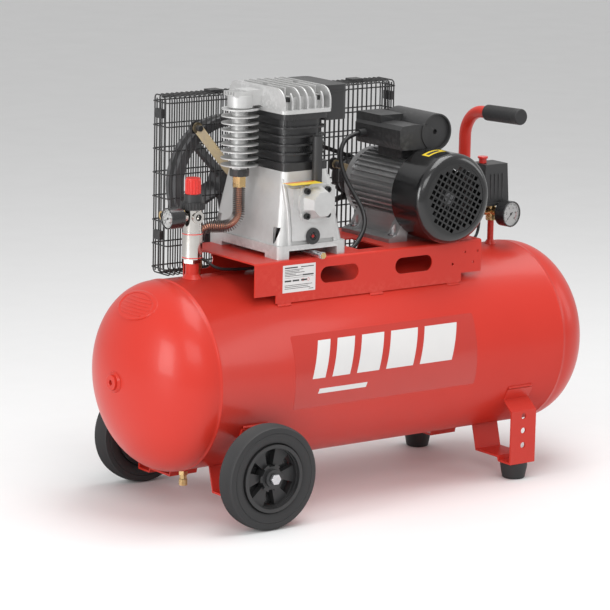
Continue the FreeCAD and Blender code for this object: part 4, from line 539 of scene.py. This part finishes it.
wrap_on_tank("side_panel", [rounded_rectangle(-0.245, 0.200, round_by(62), round_by(107), 4 * MM)],
    EXTRA["panel"], FILM)
BAR_TOP, BAR_LOW = round_by(66.5), round_by(89)
bars, at = [], -0.205
for width in (0.030, 0.042, 0.054, 0.066, 0.080):
    bars.append(slanted_bar(at, width, BAR_TOP, BAR_LOW, 22 * MM))
    at += width + 17 * MM
wrap_on_tank("side_bars", bars, EXTRA["pale_ink"], 2 * FILM)
wrap_on_tank("side_line", [slanted_bar(-0.190, 0.115, round_by(95.5), round_by(98.5), 3 * MM)],
    EXTRA["pale_ink"], 2 * FILM)

# %% [markdown]
# ## The oval plate on the end
# A pressed plate is spot-welded to the left dish. It is a grid that follows the ellipse of the
# dish, raised by a millimetre, with a rounded rim and a few raised lines in place of lettering.

# %% Oval plate
PLATE_Y, PLATE_Z = 0.0, TANK_AXIS_Z + 145 * MM
PLATE_HALF_Y, PLATE_HALF_Z = 62 * MM, 26 * MM
LINE_STEPS = 24


def dish_x(y, z, lift=0.0):
    """X of the left dish's outside at a point, plus a lift outwards."""
    depth, radius = DISH - SKIRT + lift, TANK_RADIUS + lift
    ratio = min(0.9999, (y ** 2 + (z - TANK_AXIS_Z) ** 2) / radius ** 2)
    return TANK_LEFT - SKIRT - depth * math.sqrt(1 - ratio)


def plate_height(u):
    """Height of the plate over the dish at a share u of its half width."""
    rim = 1.9 if 0.82 < u < 0.95 else 0.8
    return rim * MM if u < 0.98 else -0.3 * MM


bm = bmesh.new()
RINGS, AROUND = [0, 0.2, 0.4, 0.6, 0.72, 0.80, 0.83, 0.88, 0.94, 0.96, 0.98, 1.0], 96
rows = []
for u in RINGS:
    row = []
    for i in range(AROUND if u else 1):
        a = 2 * math.pi * i / AROUND
        y, z = PLATE_Y + PLATE_HALF_Y * u * math.cos(a), PLATE_Z + PLATE_HALF_Z * u * math.sin(a)
        row.append(bm.verts.new((dish_x(y, z, plate_height(u)), y, z)))
    rows.append(row)
for inner, outer in zip(rows, rows[1:]):
    for i in range(AROUND):
        corners = [inner[i % len(inner)], inner[(i + 1) % AROUND % len(inner)],
            outer[(i + 1) % AROUND], outer[i]]
        bm.faces.new(list(dict.fromkeys(corners)))
bm.faces.new(list(reversed(rows[-1])))
for number in range(6):
    z = PLATE_Z + (14 - 5.6 * number) * MM
    reach = (PLATE_HALF_Y - 14 * MM) * math.sqrt(1 - ((z - PLATE_Z) / PLATE_HALF_Z) ** 2) - (
        number % 3) * 4 * MM
    strip = []
    for i in range(LINE_STEPS + 1):
        y = -reach + 2 * reach * i / LINE_STEPS
        strip.append([bm.verts.new((dish_x(y, z + dz, lift * MM), y, z + dz)) for dz,
            lift in ((-0.8 * MM, 0.6), (-0.4 * MM, 1.5), (0.4 * MM, 1.5), (0.8 * MM, 0.6))])
    for a, b in zip(strip, strip[1:]):
        for k in range(4):
            bm.faces.new([a[k], b[k], b[(k + 1) % 4], a[(k + 1) % 4]])
    bm.faces.new(strip[0])
    bm.faces.new(strip[-1])
keep("oval_plate", mesh_from(bm, "oval_plate"), FINISH["tank_paint"], 60)

# %% [markdown]
# ## What repeats: Geometry Nodes
# Gauge ticks, weld ripples and pipe fins are the same small shape placed many times. One tree
# places blocks round a circle, another beads along a line, and a third, further down, discs on
# a pipe. All have named inputs, and the result becomes a plain mesh.

# %% Geometry Nodes helpers
def new_tree(name, inputs):
    """A geometry tree with named inputs; returns it with its input and output nodes."""
    tree = bpy.data.node_groups.new(name, "GeometryNodeTree")
    tree.interface.new_socket("Geometry", in_out="INPUT", socket_type="NodeSocketGeometry")
    for label, kind in inputs:
        tree.interface.new_socket(label, in_out="INPUT", socket_type="NodeSocket" + kind)
    tree.interface.new_socket("Geometry", in_out="OUTPUT", socket_type="NodeSocketGeometry")
    return tree, tree.nodes.new("NodeGroupInput"), tree.nodes.new("NodeGroupOutput")


def close_tree(tree, start, end, instances):
    """Ends a tree with Realize Instances and Set Material."""
    solid = put(tree, "GeometryNodeRealizeInstances", {0: instances})
    coated = put(tree, "GeometryNodeSetMaterial", {0: solid.outputs[0],
        "Material": start.outputs["Material"]})
    tree.links.new(coated.outputs[0], end.inputs[0])


def grow(name, tree, values, data=None):
    """Runs a tree once and returns its result as a plain mesh."""
    carrier = bpy.data.objects.new(name + "_carrier", data or bpy.data.meshes.new(name + "_seed"))
    bpy.context.scene.collection.objects.link(carrier)
    modifier = carrier.modifiers.new("grow", "NODES")
    modifier.node_group = tree
    for item in tree.interface.items_tree:
        if item.in_out == "INPUT" and item.name in values:
            modifier[item.identifier] = values[item.name]
    graph = bpy.context.evaluated_depsgraph_get()
    mesh = bpy.data.meshes.new_from_object(carrier.evaluated_get(graph), depsgraph=graph)
    mesh.name = name
    bpy.data.objects.remove(carrier)
    return mesh


# %% Blocks round a circle
circle_tree, start, end = new_tree("blocks_round_a_circle",
    [("Count", "Int"), ("Radius", "Float"), ("First Angle", "Float"), ("Sweep", "Float"),
    ("Block", "Vector"), ("Material", "Material")])
dots = put(circle_tree, "GeometryNodePoints", {"Count": start.outputs["Count"]})
index = put(circle_tree, "GeometryNodeInputIndex")
step = maths(circle_tree, "DIVIDE", start.outputs["Sweep"], start.outputs["Count"])
angle = maths(circle_tree, "MULTIPLY_ADD", index.outputs[0], step, start.outputs["First Angle"])
unit = put(circle_tree, "ShaderNodeCombineXYZ", {
    "X": maths(circle_tree, "COSINE", angle), "Y": maths(circle_tree, "SINE", angle)})
spot = put(circle_tree, "ShaderNodeVectorMath", {0: unit.outputs[0],
    "Scale": start.outputs["Radius"]}, operation="SCALE")
placed = put(circle_tree, "GeometryNodeSetPosition", {0: dots.outputs[0],
    "Position": spot.outputs[0]})
turned = put(circle_tree, "ShaderNodeCombineXYZ", {"Z": angle})
block = put(circle_tree, "GeometryNodeMeshCube", {"Size": start.outputs["Block"]})
set_out = put(circle_tree, "GeometryNodeInstanceOnPoints", {
    "Points": placed.outputs[0], "Instance": block.outputs[0], "Rotation": turned.outputs[0]})
close_tree(circle_tree, start, end, set_out.outputs[0])

# %% Beads along a line
line_tree, start, end = new_tree("beads_along_a_line", [
    ("Count", "Int"), ("From", "Vector"), ("To", "Vector"), ("Bead", "Vector"), ("Turn", "Vector"),
    ("Material", "Material")])
row = put(line_tree, "GeometryNodeMeshLine", {"Count": start.outputs["Count"],
    "Start Location": start.outputs["From"], "Offset": start.outputs["To"]}, mode="END_POINTS")
ball = put(line_tree, "GeometryNodeMeshUVSphere", {"Segments": 10, "Rings": 6, "Radius": 0.5})
laid = put(line_tree, "GeometryNodeInstanceOnPoints", {
    "Points": row.outputs[0], "Instance": ball.outputs[0], "Scale": start.outputs["Bead"],
    "Rotation": start.outputs["Turn"]})
close_tree(line_tree, start, end, laid.outputs[0])

# %% [markdown]
# ## Weld beads
# Hand welds join the brackets and the platform's tabs to the tank. Overlapping squashed beads,
# each a little ahead of the last, read as the ripples a welder leaves.

# %% Weld beads
BEAD_PITCH, BEAD_LENGTH = 2.2 * MM, 5.0 * MM


def weld(name, a, b, width, turn=(0, 0, 0)):
    a, b = Vector(a), Vector(b)
    count = max(3, int((b - a).length / BEAD_PITCH))
    values = {"Count": count, "From": a, "To": b, "Bead": (BEAD_LENGTH, width, width * 0.55),
        "Turn": turn, "Material": FINISH["tank_paint"]}
    keep(name, grow(name, line_tree, values), None, 60)


plat_low, plat_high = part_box("platform")
FLANGE_Y = plat_high[1]
TAB_Z = TANK_AXIS_Z + math.sqrt(TANK_RADIUS ** 2 - FLANGE_Y ** 2)
TAB_HALF, TAB_INSET = 14 * MM, 70 * MM
tabs = (plat_low[0] + TAB_INSET, (plat_low[0] + plat_high[0]) / 2 + 15 * MM,
    plat_high[0] - TAB_INSET)
for side, side_name in ((-1, "front"), (1, "rear")):
    for number, x in enumerate(tabs):
        weld("tab_weld_%s_%d" % (side_name, number), (x - TAB_HALF, side * (FLANGE_Y + 0.8 * MM),
            TAB_Z + 0.6 * MM), (x + TAB_HALF, side * (FLANGE_Y + 0.8 * MM), TAB_Z + 0.6 * MM),
            5.5 * MM, (side * -0.75, 0, 0))
strap_low, strap_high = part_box("support_brackets")
STRAP_W, STRAP_WELD_HALF, STRAP_OUT = 64 * MM, 28 * MM, 1.6 * MM
STRAP_TURN = math.radians(24.0)
strap_y = (TANK_RADIUS + STRAP_OUT) * math.cos(STRAP_TURN)
strap_z = TANK_AXIS_Z - (TANK_RADIUS + STRAP_OUT) * math.sin(STRAP_TURN)
for x, end_name in ((strap_low[0] + STRAP_W / 2, "wheel_end"),
        (strap_high[0] - STRAP_W / 2, "foot_end")):
    for side, side_name in ((-1, "front"), (1, "rear")):
        weld("strap_weld_%s_%s" % (end_name, side_name), (x - STRAP_WELD_HALF, side * strap_y,
            strap_z), (x + STRAP_WELD_HALF, side * strap_y, strap_z), 6 * MM, (side * -1.1, 0, 0))

# %% [markdown]
# ## Tyres and dark hub discs, painted shade
# A tyre is moulded in one piece, so it is one turned outline: a soft sidewall with a groove near
# its edge, a rounded shoulder, and a tread of fine rounds. Behind the spokes a dark dished disc
# fills the hub: its black is painted shade, standing in for the shadow in the gaps between the
# spokes.

# %% Tyres and hub shade discs
RIDGES, RIDGE_PITCH, RIDGE_DEPTH, CROWN = 10, 3.7 * MM, 1.7 * MM, 2.0 * MM
SIDEWALL = [(14, 66), (18, 69), (20.6, 76), (21.5, 83), (21.3, 86), (20.4, 87), (21.3, 88),
    (21.0, 93), (19.9, 97.5)]
HUB_SHADE_PROFILE = [(0, 19), (3, 34), (4, 54), (6, 54), (5, 34), (2, 19), (0, 19)]
for side_name, side in (("front", -1), ("rear", 1)):
    low, high = (Vector(c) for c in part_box("tyre_" + side_name))
    middle, wheel_r = (low + high) / 2, (high.z - low.z) / 2
    half = RIDGES * RIDGE_PITCH / 2
    outline = [(-along * MM, radius * MM) for along, radius in SIDEWALL]
    for i in range(RIDGES * 4 + 1):
        along = -half + i * RIDGE_PITCH / 4
        groove = RIDGE_DEPTH * (0.5 + 0.5 * math.cos(math.pi / 2 * i))
        outline.append((along, wheel_r - CROWN * (along / half) ** 2 - groove))
    outline += [(along * MM, radius * MM) for along, radius in reversed(SIDEWALL)]
    outline.append(outline[0])
    tyre = mesh_from(lathe(outline, middle, (0, 1, 0), 144), "tyre_" + side_name)
    keep("moulded_tyre_" + side_name, tyre, FINISH["tyre_rubber"], 25,
         "wheel_" + side_name, ("tyre_" + side_name,))
    # A black disc behind the spokes is painted shade: it stands in for the shadow inside the hub.
    turned_piece("hub_shade_disc_" + side_name, HUB_SHADE_PROFILE, (middle.x, middle.y - side * 13 * MM, middle.z),
        (0, side, 0), 72, FINISH["gauge_case"], 40, "wheel_" + side_name)

# %% [markdown]
# ## The finned delivery pipe
# Its route is a short poly-line: the tree rounds the corners, sweeps the pipe and threads the
# discs square to the path at an even pitch.

# %% Finned pipe
pipe_tree, start, end = new_tree("finned_pipe", [("Bend Radius", "Float"), ("Pipe Radius", "Float"),
    ("Fin Radius", "Float"), ("Fin Pitch", "Float"), ("Fin Thickness", "Float"),
    ("First Share", "Float"), ("Last Share", "Float"), ("Pipe Finish", "Material"),
    ("Material", "Material")])
bent = put(pipe_tree, "GeometryNodeFilletCurve", {0: start.outputs["Geometry"],
    "Radius": start.outputs["Bend Radius"], "Count": 16}, mode="POLY")
ringed = put(pipe_tree, "GeometryNodeCurvePrimitiveCircle",
    {"Radius": start.outputs["Pipe Radius"], "Resolution": 28})
swept = put(pipe_tree, "GeometryNodeCurveToMesh", {0: bent.outputs[0], 1: ringed.outputs[0],
    "Fill Caps": True})
piped = put(pipe_tree, "GeometryNodeSetMaterial", {0: swept.outputs[0],
    "Material": start.outputs["Pipe Finish"]})
part = put(pipe_tree, "GeometryNodeTrimCurve", {0: bent.outputs[0], 2: start.outputs["First Share"],
                                                3: start.outputs["Last Share"]}, mode="FACTOR")
spots = put(pipe_tree, "GeometryNodeCurveToPoints", {0: part.outputs[0],
    "Length": start.outputs["Fin Pitch"]}, mode="LENGTH")
disc = put(pipe_tree, "GeometryNodeMeshCylinder", {"Vertices": 40,
    "Radius": start.outputs["Fin Radius"], "Depth": start.outputs["Fin Thickness"]})
threaded = put(pipe_tree, "GeometryNodeInstanceOnPoints", {
    "Points": spots.outputs[0], "Instance": disc.outputs[0], "Rotation": spots.outputs["Rotation"]})
solid = put(pipe_tree, "GeometryNodeRealizeInstances", {0: threaded.outputs[0]})
finned = put(pipe_tree, "GeometryNodeSetMaterial", {0: solid.outputs[0],
    "Material": start.outputs["Material"]})
both = put(pipe_tree, "GeometryNodeJoinGeometry")
pipe_tree.links.new(finned.outputs[0], both.inputs[0])
pipe_tree.links.new(piped.outputs[0], both.inputs[0])
pipe_tree.links.new(both.outputs[0], end.inputs[0])

pipe_low, pipe_high = (Vector(c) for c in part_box("delivery_pipe"))
PIPE_R = 6 * MM
COOLER_X, COOLER_Y = pipe_high.x - PIPE_R, pipe_low.y + PIPE_R
VALVE_X, VALVE_Y = pipe_low.x + PIPE_R, pipe_high.y - PIPE_R
BEND_Z = plat_high[2] + 50 * MM
route = bpy.data.curves.new("pipe_route", "CURVE")
route.dimensions = "3D"
line = route.splines.new("POLY")
line.points.add(3)
for point, place in zip(line.points, ((COOLER_X, COOLER_Y, pipe_high.z),
        (COOLER_X, COOLER_Y, BEND_Z), (VALVE_X, VALVE_Y, BEND_Z), (VALVE_X, VALVE_Y, pipe_low.z))):
    point.co = (*place, 1)
pipe = grow("delivery_line", pipe_tree, {"Bend Radius": 29 * MM, "Pipe Radius": PIPE_R,
    "Fin Radius": 12.3 * MM, "Fin Pitch": 3.7 * MM, "Fin Thickness": 0.7 * MM, "First Share": 0.14,
    "Last Share": 0.90, "Pipe Finish": FINISH["copper"], "Material": FINISH["fin_metal"]}, route)
keep("delivery_line", pipe, None, stands_for=("delivery_pipe", "pipe_fins"))
print("pipe faces:", len(pipe.polygons))

# %% [markdown]
# ## Cables
# Two cords are held at both ends: the motor's lead, which goes down through the platform and up
# to the switch, and the thin plastic tube that unloads the pump. Each is one smooth spline
# through listed control points, so that its bends flow into each other.

# %% Cords
SHIFT_X = 4.507 * MM


def cord(name, node, points, radius):
    """A smooth cord on control points given in millimetres before the frame's shift along X."""
    data = bpy.data.curves.new(name, "CURVE")
    data.dimensions = "3D"
    spline = data.splines.new("NURBS")
    spline.points.add(len(points) - 1)
    for point, (x, y, z) in zip(spline.points, points):
        point.co = (x * MM + SHIFT_X, y * MM, z * MM, 1)
    spline.order_u = 3
    spline.use_endpoint_u = True
    spline.resolution_u = 12
    data.bevel_depth = radius
    data.bevel_resolution = 5
    data.use_fill_caps = True
    data.materials.append(FINISH["cable"])
    made = bpy.data.objects.new(name, data)
    bpy.context.scene.collection.objects.link(made)
    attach(made, "base")
    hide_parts(node)
    print(name, "control points:", len(points))


LEAD = [(69, 55, 694), (43, 55, 690), (22, 50, 670), (16, 42, 640), (21, 30, 609), (29, 10, 579),
    (32, -14, 553), (22, -37, 528), (0, -50, 504), (-28, -57, 484), (-60, -56, 475),
    (-88, -40, 473), (-97, -10, 473), (-82, 17, 472), (-52, 30, 470), (-17, 32, 467), (18, 28, 465),
    (54, 20, 464), (90, 16, 464), (126, 18, 464), (162, 22, 463), (198, 20, 461), (234, 16, 461),
    (268, 13, 460), (301, 15, 459), (327, 15, 474), (342, 15, 500), (342, 15, 527)]
TUBE = [(342, 0, 513), (342, 0, 476), (312, -8, 460), (258, -14, 460), (204.9, -16, 460),
    (151.8, -8, 461), (98.7, -16, 460), (45.6, -8, 461), (-7.5, -16, 460), (-60.6, -8, 461),
    (-113.7, -16, 460), (-166.8, -8, 461), (-219.9, -16, 460), (-276, -8, 461), (-316, -8, 466),
    (-332, 4, 483.6), (-332, 30, 483.6)]
cord("motor_lead", "motor_cable", LEAD, 4.5 * MM)
cord("unloader_line", "unloader_tube", TUBE, 3.0 * MM)

# %% [markdown]
# ## Gauge dials
# A gauge is a white disc with black ticks, a coloured arc, a needle and a clear window.
# Ticks come from the circle tree, as thin blocks over three quarters of a turn.

# %% Gauge dials
def facing_frame(centre, outward):
    """A matrix whose Z points out of the dial and whose Y is as near to up as it can be."""
    out = Vector(outward).normalized()
    right = Vector((0, 0, 1)).cross(out).normalized()
    up = out.cross(right)
    return Matrix.Translation(Vector(centre)) @ Matrix((right, up, out)).transposed().to_4x4()


def dial(name, centre, outward, radius, needle_at):
    """The face of a gauge, its parts stacked a few tenths of a millimetre apart."""
    stand = facing_frame(centre, outward)
    disc = mesh_from(lathe([(0, 0), (0, radius), (0.8 * MM, radius), (0.8 * MM, 0)], (0, 0, 0),
        (0, 0, 1), 64), name)
    disc.transform(stand)
    keep(name + "_dial", disc, EXTRA["dial"], 35)
    marks = bmesh.new()
    for count, length, width in ((51, 0.07, 0.010), (11, 0.15, 0.022)):
        ticks = grow(name + "_ticks", circle_tree, {"Count": count,
            "Radius": radius * (0.90 - length / 2), "First Angle": math.radians(-45),
            "Sweep": math.radians(270) * count / (count - 1),
            "Block": (radius * length, radius * width * 1.6, 0.2 * MM),
            "Material": EXTRA["dark_ink"]})
        marks.from_mesh(ticks)
    bmesh.ops.create_cone(marks, cap_ends=True, segments=20, radius1=radius * 0.12,
        radius2=radius * 0.10, depth=1.0 * MM, matrix=Matrix.Translation((0, 0, 0.3 * MM)))
    for v in marks.verts:
        v.co.z += 0.9 * MM
    direction = math.radians(needle_at)
    tip = Vector((math.cos(direction), math.sin(direction), 0))
    across_tip = Vector((-tip.y, tip.x, 0))
    corners = [tip * radius * 0.74, across_tip * radius * 0.045 - tip * radius * 0.2,
               across_tip * -radius * 0.045 - tip * radius * 0.2]
    low_ring = [marks.verts.new(c + Vector((0, 0, 1.5 * MM))) for c in corners]
    top_ring = [marks.verts.new(c + Vector((0, 0, 1.9 * MM))) for c in corners]
    marks.faces.new(low_ring)
    marks.faces.new(top_ring)
    for i in range(3):
        j = (i + 1) % 3
        marks.faces.new([low_ring[i], low_ring[j], top_ring[j], top_ring[i]])
    ink = mesh_from(marks, name + "_marks")
    ink.transform(stand)
    keep(name + "_marks", ink, EXTRA["dark_ink"], 30)
    for label, turn in (("0", 225), ("2", 171), ("4", 117), ("6", 63), ("8", 9), ("10", -45)):
        text = bpy.data.curves.new(name + "_text", "FONT")
        text.body, text.size, text.extrude = label, radius * 0.26, 0.08 * MM
        text.align_x, text.align_y = "CENTER", "CENTER"
        carrier = bpy.data.objects.new(name + "_text", text)
        bpy.context.scene.collection.objects.link(carrier)
        graph = bpy.context.evaluated_depsgraph_get()
        letters = bpy.data.meshes.new_from_object(carrier.evaluated_get(graph), depsgraph=graph)
        bpy.data.objects.remove(carrier)
        a = math.radians(turn)
        letters.transform(stand @ Matrix.Translation((radius * 0.55 * math.cos(a),
            radius * 0.55 * math.sin(a), 0.95 * MM)))
        keep(name + "_number_" + label, letters, EXTRA["dark_ink"], 30)
    arc = grow(name + "_arc", circle_tree, {"Count": 12, "Radius": radius * 0.66,
        "First Angle": math.radians(-45), "Sweep": math.radians(58),
        "Block": (radius * 0.05, radius * 0.07, 0.15 * MM), "Material": FINISH["red_knob"]})
    arc.transform(stand @ Matrix.Translation((0, 0, 0.95 * MM)))
    keep(name + "_arc", arc, None, 30)
    pane = mesh_from(lathe([(2.4 * MM, 0), (2.4 * MM, radius), (3.2 * MM, radius),
        (3.4 * MM, radius * 0.6), (3.5 * MM, 0)], (0, 0, 0), (0, 0, 1), 64), name + "_window")
    pane.transform(stand)
    keep(name + "_window", pane, window, 35)


gauge_low, gauge_high = (Vector(c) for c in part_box("gauge_left"))
small_r = (gauge_high.z - gauge_low.z) / 2 - 2.5 * MM
centre_z = (gauge_high.z + gauge_low.z) / 2
dial("small_gauge", (gauge_low.x + 4.0 * MM, 0, centre_z), (-1, 0, 0), small_r, 205)
gauge_low, gauge_high = (Vector(c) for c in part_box("gauge_right"))
large_r = (gauge_high.z - gauge_low.z) / 2 - 2.5 * MM
GAUGE_TURN, GAUGE_REACH_MM = math.radians(-81), 53
outward = Vector((math.cos(GAUGE_TURN), math.sin(GAUGE_TURN), 0))
switch_x = 372 * MM + SHIFT_X
dial("large_gauge",
    Vector((switch_x, 0, (gauge_high.z + gauge_low.z) / 2)) + outward * GAUGE_REACH_MM * MM,
    outward, large_r, 222)

# %% [markdown]
# ## Labels and small trim
# A white rating label sits on the platform's edge, and yellow notices on the fan cover and pump.
# All print is made of plain bars, because real wording would belong to a maker.

# %% Labels
def flat_box(name, low, high, material, rounding=0.0):
    bm = bmesh.new()
    bmesh.ops.create_cube(bm, size=1.0)
    low, high = Vector(low), Vector(high)
    for v in bm.verts:
        v.co = Vector((low[k] + (v.co[k] + 0.5) * (high[k] - low[k]) for k in range(3)))
    made = keep(name, mesh_from(bm, name), material, 30)
    if rounding:
        round_edges(made, rounding)
    return made


LABEL_X0, LABEL_X1 = -0.2345, -0.1570
LABEL_Z0, LABEL_Z1 = 0.4295, 0.4830
label_y = -FLANGE_Y
flat_box("rating_label", (LABEL_X0, label_y - 0.25 * MM, LABEL_Z0),
    (LABEL_X1, label_y + 0.05 * MM, LABEL_Z1), EXTRA["pale_ink"])
bm = bmesh.new()
print_rows = [(0.06, 0.45, 0.90, 0.045), (0.06, 0.62, 0.82, 0.02), (0.06, 0.50, 0.765, 0.02),
    (0.06, 0.66, 0.71, 0.02), (0.06, 0.40, 0.655, 0.02), (0.06, 0.58, 0.60, 0.02),
    (0.55, 0.94, 0.90, 0.03), (0.60, 0.94, 0.60, 0.05), (0.06, 0.94, 0.53, 0.008),
    (0.06, 0.26, 0.42, 0.06), (0.30, 0.50, 0.42, 0.06), (0.56, 0.74, 0.42, 0.06),
    (0.06, 0.90, 0.26, 0.018), (0.06, 0.78, 0.20, 0.018), (0.06, 0.84, 0.14, 0.018),
    (0.80, 0.94, 0.08, 0.02)]
for left, right, height, thick in print_rows:
    made = bmesh.ops.create_cube(bm, size=1.0)
    x0 = LABEL_X0 + left * (LABEL_X1 - LABEL_X0)
    x1 = LABEL_X0 + right * (LABEL_X1 - LABEL_X0)
    z = LABEL_Z0 + height * (LABEL_Z1 - LABEL_Z0)
    half = thick * (LABEL_Z1 - LABEL_Z0)
    for v in made["verts"]:
        v.co = Vector(((x0 + x1) / 2 + v.co.x * (x1 - x0), label_y - 0.30 * MM + v.co.y * 0.14 * MM,
            z + v.co.z * half))
keep("rating_label_print", mesh_from(bm, "label_print"), EXTRA["dark_ink"], 30)

for number, left in enumerate((0.62, 0.78)):
    ring_x = LABEL_X0 + left * (LABEL_X1 - LABEL_X0)
    turned_piece("label_ring_%d" % number, [(0, 2.3), (0, 2.9), (0.1, 2.9), (0.1, 2.3), (0, 2.3)],
        (ring_x, label_y - 0.26 * MM, LABEL_Z0 + 0.42 * (LABEL_Z1 - LABEL_Z0)), (0, -1, 0), 32,
        FINISH["red_knob"], 30)
TAG_LOW, TAG_HIGH = Vector((-0.222, -0.131, 0.6383)), Vector((-0.150, -0.098, 0.6387))
flat_box("pump_notice", TAG_LOW, TAG_HIGH, EXTRA["yellow"])
flat_box("pump_notice_band", (TAG_LOW.x + 2 * MM, TAG_HIGH.y - 9 * MM, TAG_HIGH.z - 0.1 * MM),
    (TAG_HIGH.x - 2 * MM, TAG_HIGH.y - 2 * MM, TAG_HIGH.z + 0.15 * MM), FINISH["red_knob"])


PATCH_STEPS = 16


def on_fan_cover(name, turns, span, lift, material):
    """A thin patch bent round the fan cover, between two angles and two places in Y."""
    low, high = (Vector(c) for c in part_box("fan_cover"))
    middle_x, middle_z, radius = (low.x + high.x) / 2, (low.z + high.z) / 2, (high.x - low.x) / 2
    bm = bmesh.new()
    rows = []
    for i in range(PATCH_STEPS + 1):
        a = math.radians(turns[0] + (turns[1] - turns[0]) * i / PATCH_STEPS)
        rows.append([bm.verts.new((middle_x + r * math.sin(a), y, middle_z + r * math.cos(a)))
            for y, r in ((span[0], radius - 0.1 * MM), (span[0], radius + lift),
            (span[1], radius + lift), (span[1], radius - 0.1 * MM))])
    for a, b in zip(rows, rows[1:]):
        for k in range(4):
            bm.faces.new([a[k], b[k], b[(k + 1) % 4], a[(k + 1) % 4]])
    bm.faces.new(rows[0])
    bm.faces.new(rows[-1])
    keep(name, mesh_from(bm, name), material, 40)


on_fan_cover("fan_notice", (-24, 4), (-114 * MM, -92 * MM), 0.25 * MM, EXTRA["yellow"])
on_fan_cover("fan_notice_print", (-21, -2), (-108.5 * MM, -99 * MM), 0.40 * MM, EXTRA["dark_ink"])

# %% [markdown]
# ## Cast ribs and pressed-on parts
# Ribs stiffen the crankcase beside its front boss, and run out into the foot. The cooler ends in
# a black hexagon, a dark ring in the regulator's outlet is painted shade for the inside of the
# port, and a brass cap closes the oil drain.

# %% Cast ribs
case_low, case_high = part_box("crankcase")
CASE_MIDDLE = (case_low[0] + case_high[0]) / 2


def slab_along_x(bm, outline, x0, x1):
    """Adds a (y, z) outline spread between two places in X."""
    near = [bm.verts.new((x0, y, z)) for y, z in outline]
    far = [bm.verts.new((x1, y, z)) for y, z in outline]
    bm.faces.new(near)
    bm.faces.new(far)
    for i in range(len(outline)):
        j = (i + 1) % len(outline)
        bm.faces.new([near[i], near[j], far[j], far[i]])


bm = bmesh.new()
front_y = case_low[1]
for side in (-1, 1):
    inner, outer = CASE_MIDDLE + side * 50 * MM, CASE_MIDDLE + side * 57 * MM
    outline = [(front_y + 30 * MM, 517 * MM), (front_y + 1 * MM, 517 * MM),
        (front_y + 2 * MM, 545 * MM), (front_y + 8 * MM, 585 * MM), (front_y + 19 * MM, 622 * MM),
        (front_y + 30 * MM, 646 * MM)]
    slab_along_x(bm, outline, min(inner, outer), max(inner, outer))
ribs = keep("case_ribs", mesh_from(bm, "case_ribs"), FINISH["cast_alloy"], 30)
round_edges(ribs, 1.8 * MM, 25)

# %% Hexagon, painted-shade ring in the outlet, and drain cap
cooler_low = Vector(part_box("aftercooler")[0])
nut = turned_piece("cooler_hexagon", [(0, 9.6), (0, 19.4), (14, 19.4), (14, 9.6), (0, 9.6)],
    (COOLER_X, COOLER_Y, cooler_low.z + 0.5 * MM), (0, 0, 1), 12, FINISH["black_iron"],
    25)
round_edges(nut, 0.7 * MM, 25)
mounts = frame["record"]["mounts"]
port_at = next(Vector(m["pos_m"]) for m in mounts if m["name"] == "side_port")
# A dark rubber ring in the side port is painted shade, so the chrome port reads as a dark hole.
turned_piece("outlet_shade_ring", [(0, 4.4), (0, 8.6), (0.9, 8.4), (0.9, 4.6), (0, 4.4)], port_at,
    (0, -1, 0), 40, FINISH["rubber"], 40)
drain_low, drain_high = (Vector(c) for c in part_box("oil_drain_tube"))
drain_middle = (drain_low + drain_high) / 2
turned_piece("drain_cap", [(0, 0), (0, 6.8), (1.0, 6.3), (1.0, 0)],
    (drain_middle.x, drain_low.y + 0.1 * MM, drain_middle.z), (0, -1, 0), 6, FINISH["brass"],
    30)

glass_low, glass_high = (Vector(c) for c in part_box("sight_glass"))
glass_middle = (glass_low + glass_high) / 2
turned_piece("oil_mark", [(0, 0), (0, 3.2), (0.6, 3.0), (0.8, 0)],
    (glass_middle.x, glass_low.y + 1.6 * MM, glass_middle.z), (0, -1, 0), 32, FINISH["red_knob"],
    40)
turned_piece("oil_window", [(0, 0), (0, 7.6), (0.9, 7.4), (1.2, 0)],
    (glass_middle.x, glass_low.y + 1.4 * MM, glass_middle.z), (0, -1, 0), 40, window,
    40)
bowl_low = Vector(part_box("regulator_body")[0])
BOWL_X = -366 * MM + SHIFT_X
for name, z in (("bowl_ring_low", bowl_low.z + 11 * MM), ("bowl_ring_top", bowl_low.z + 57 * MM)):
    turned_piece(name, [(-0.9, 19.2), (-0.9, 19.8), (0, 20.1), (0.9, 19.8), (0.9, 19.2),
        (-0.9, 19.2)], (BOWL_X, 0, z), (0, 0, 1), 64, FINISH["red_knob"], 60)

# %% [markdown]
# ## Floor
# A plain pale floor catches a soft shadow, which seats the wheels and feet.

# %% Floor
floor_mesh = bpy.data.meshes.new("floor")
FLOOR = 9.0
floor_corners = [(x * FLOOR, y * FLOOR, 0) for x, y in ((-1, -1), (1, -1), (1, 1), (-1, 1))]
floor_mesh.from_pydata(floor_corners, [], [(0, 1, 2, 3)])
floor = bpy.data.objects.new("floor", floor_mesh)
floor_mesh.materials.append(finish("studio_floor", (0.86, 0.86, 0.86), (0.84, 0.84, 0.84), 0.6,
    bump=0.0, dust=0.0))
bpy.context.scene.collection.objects.link(floor)
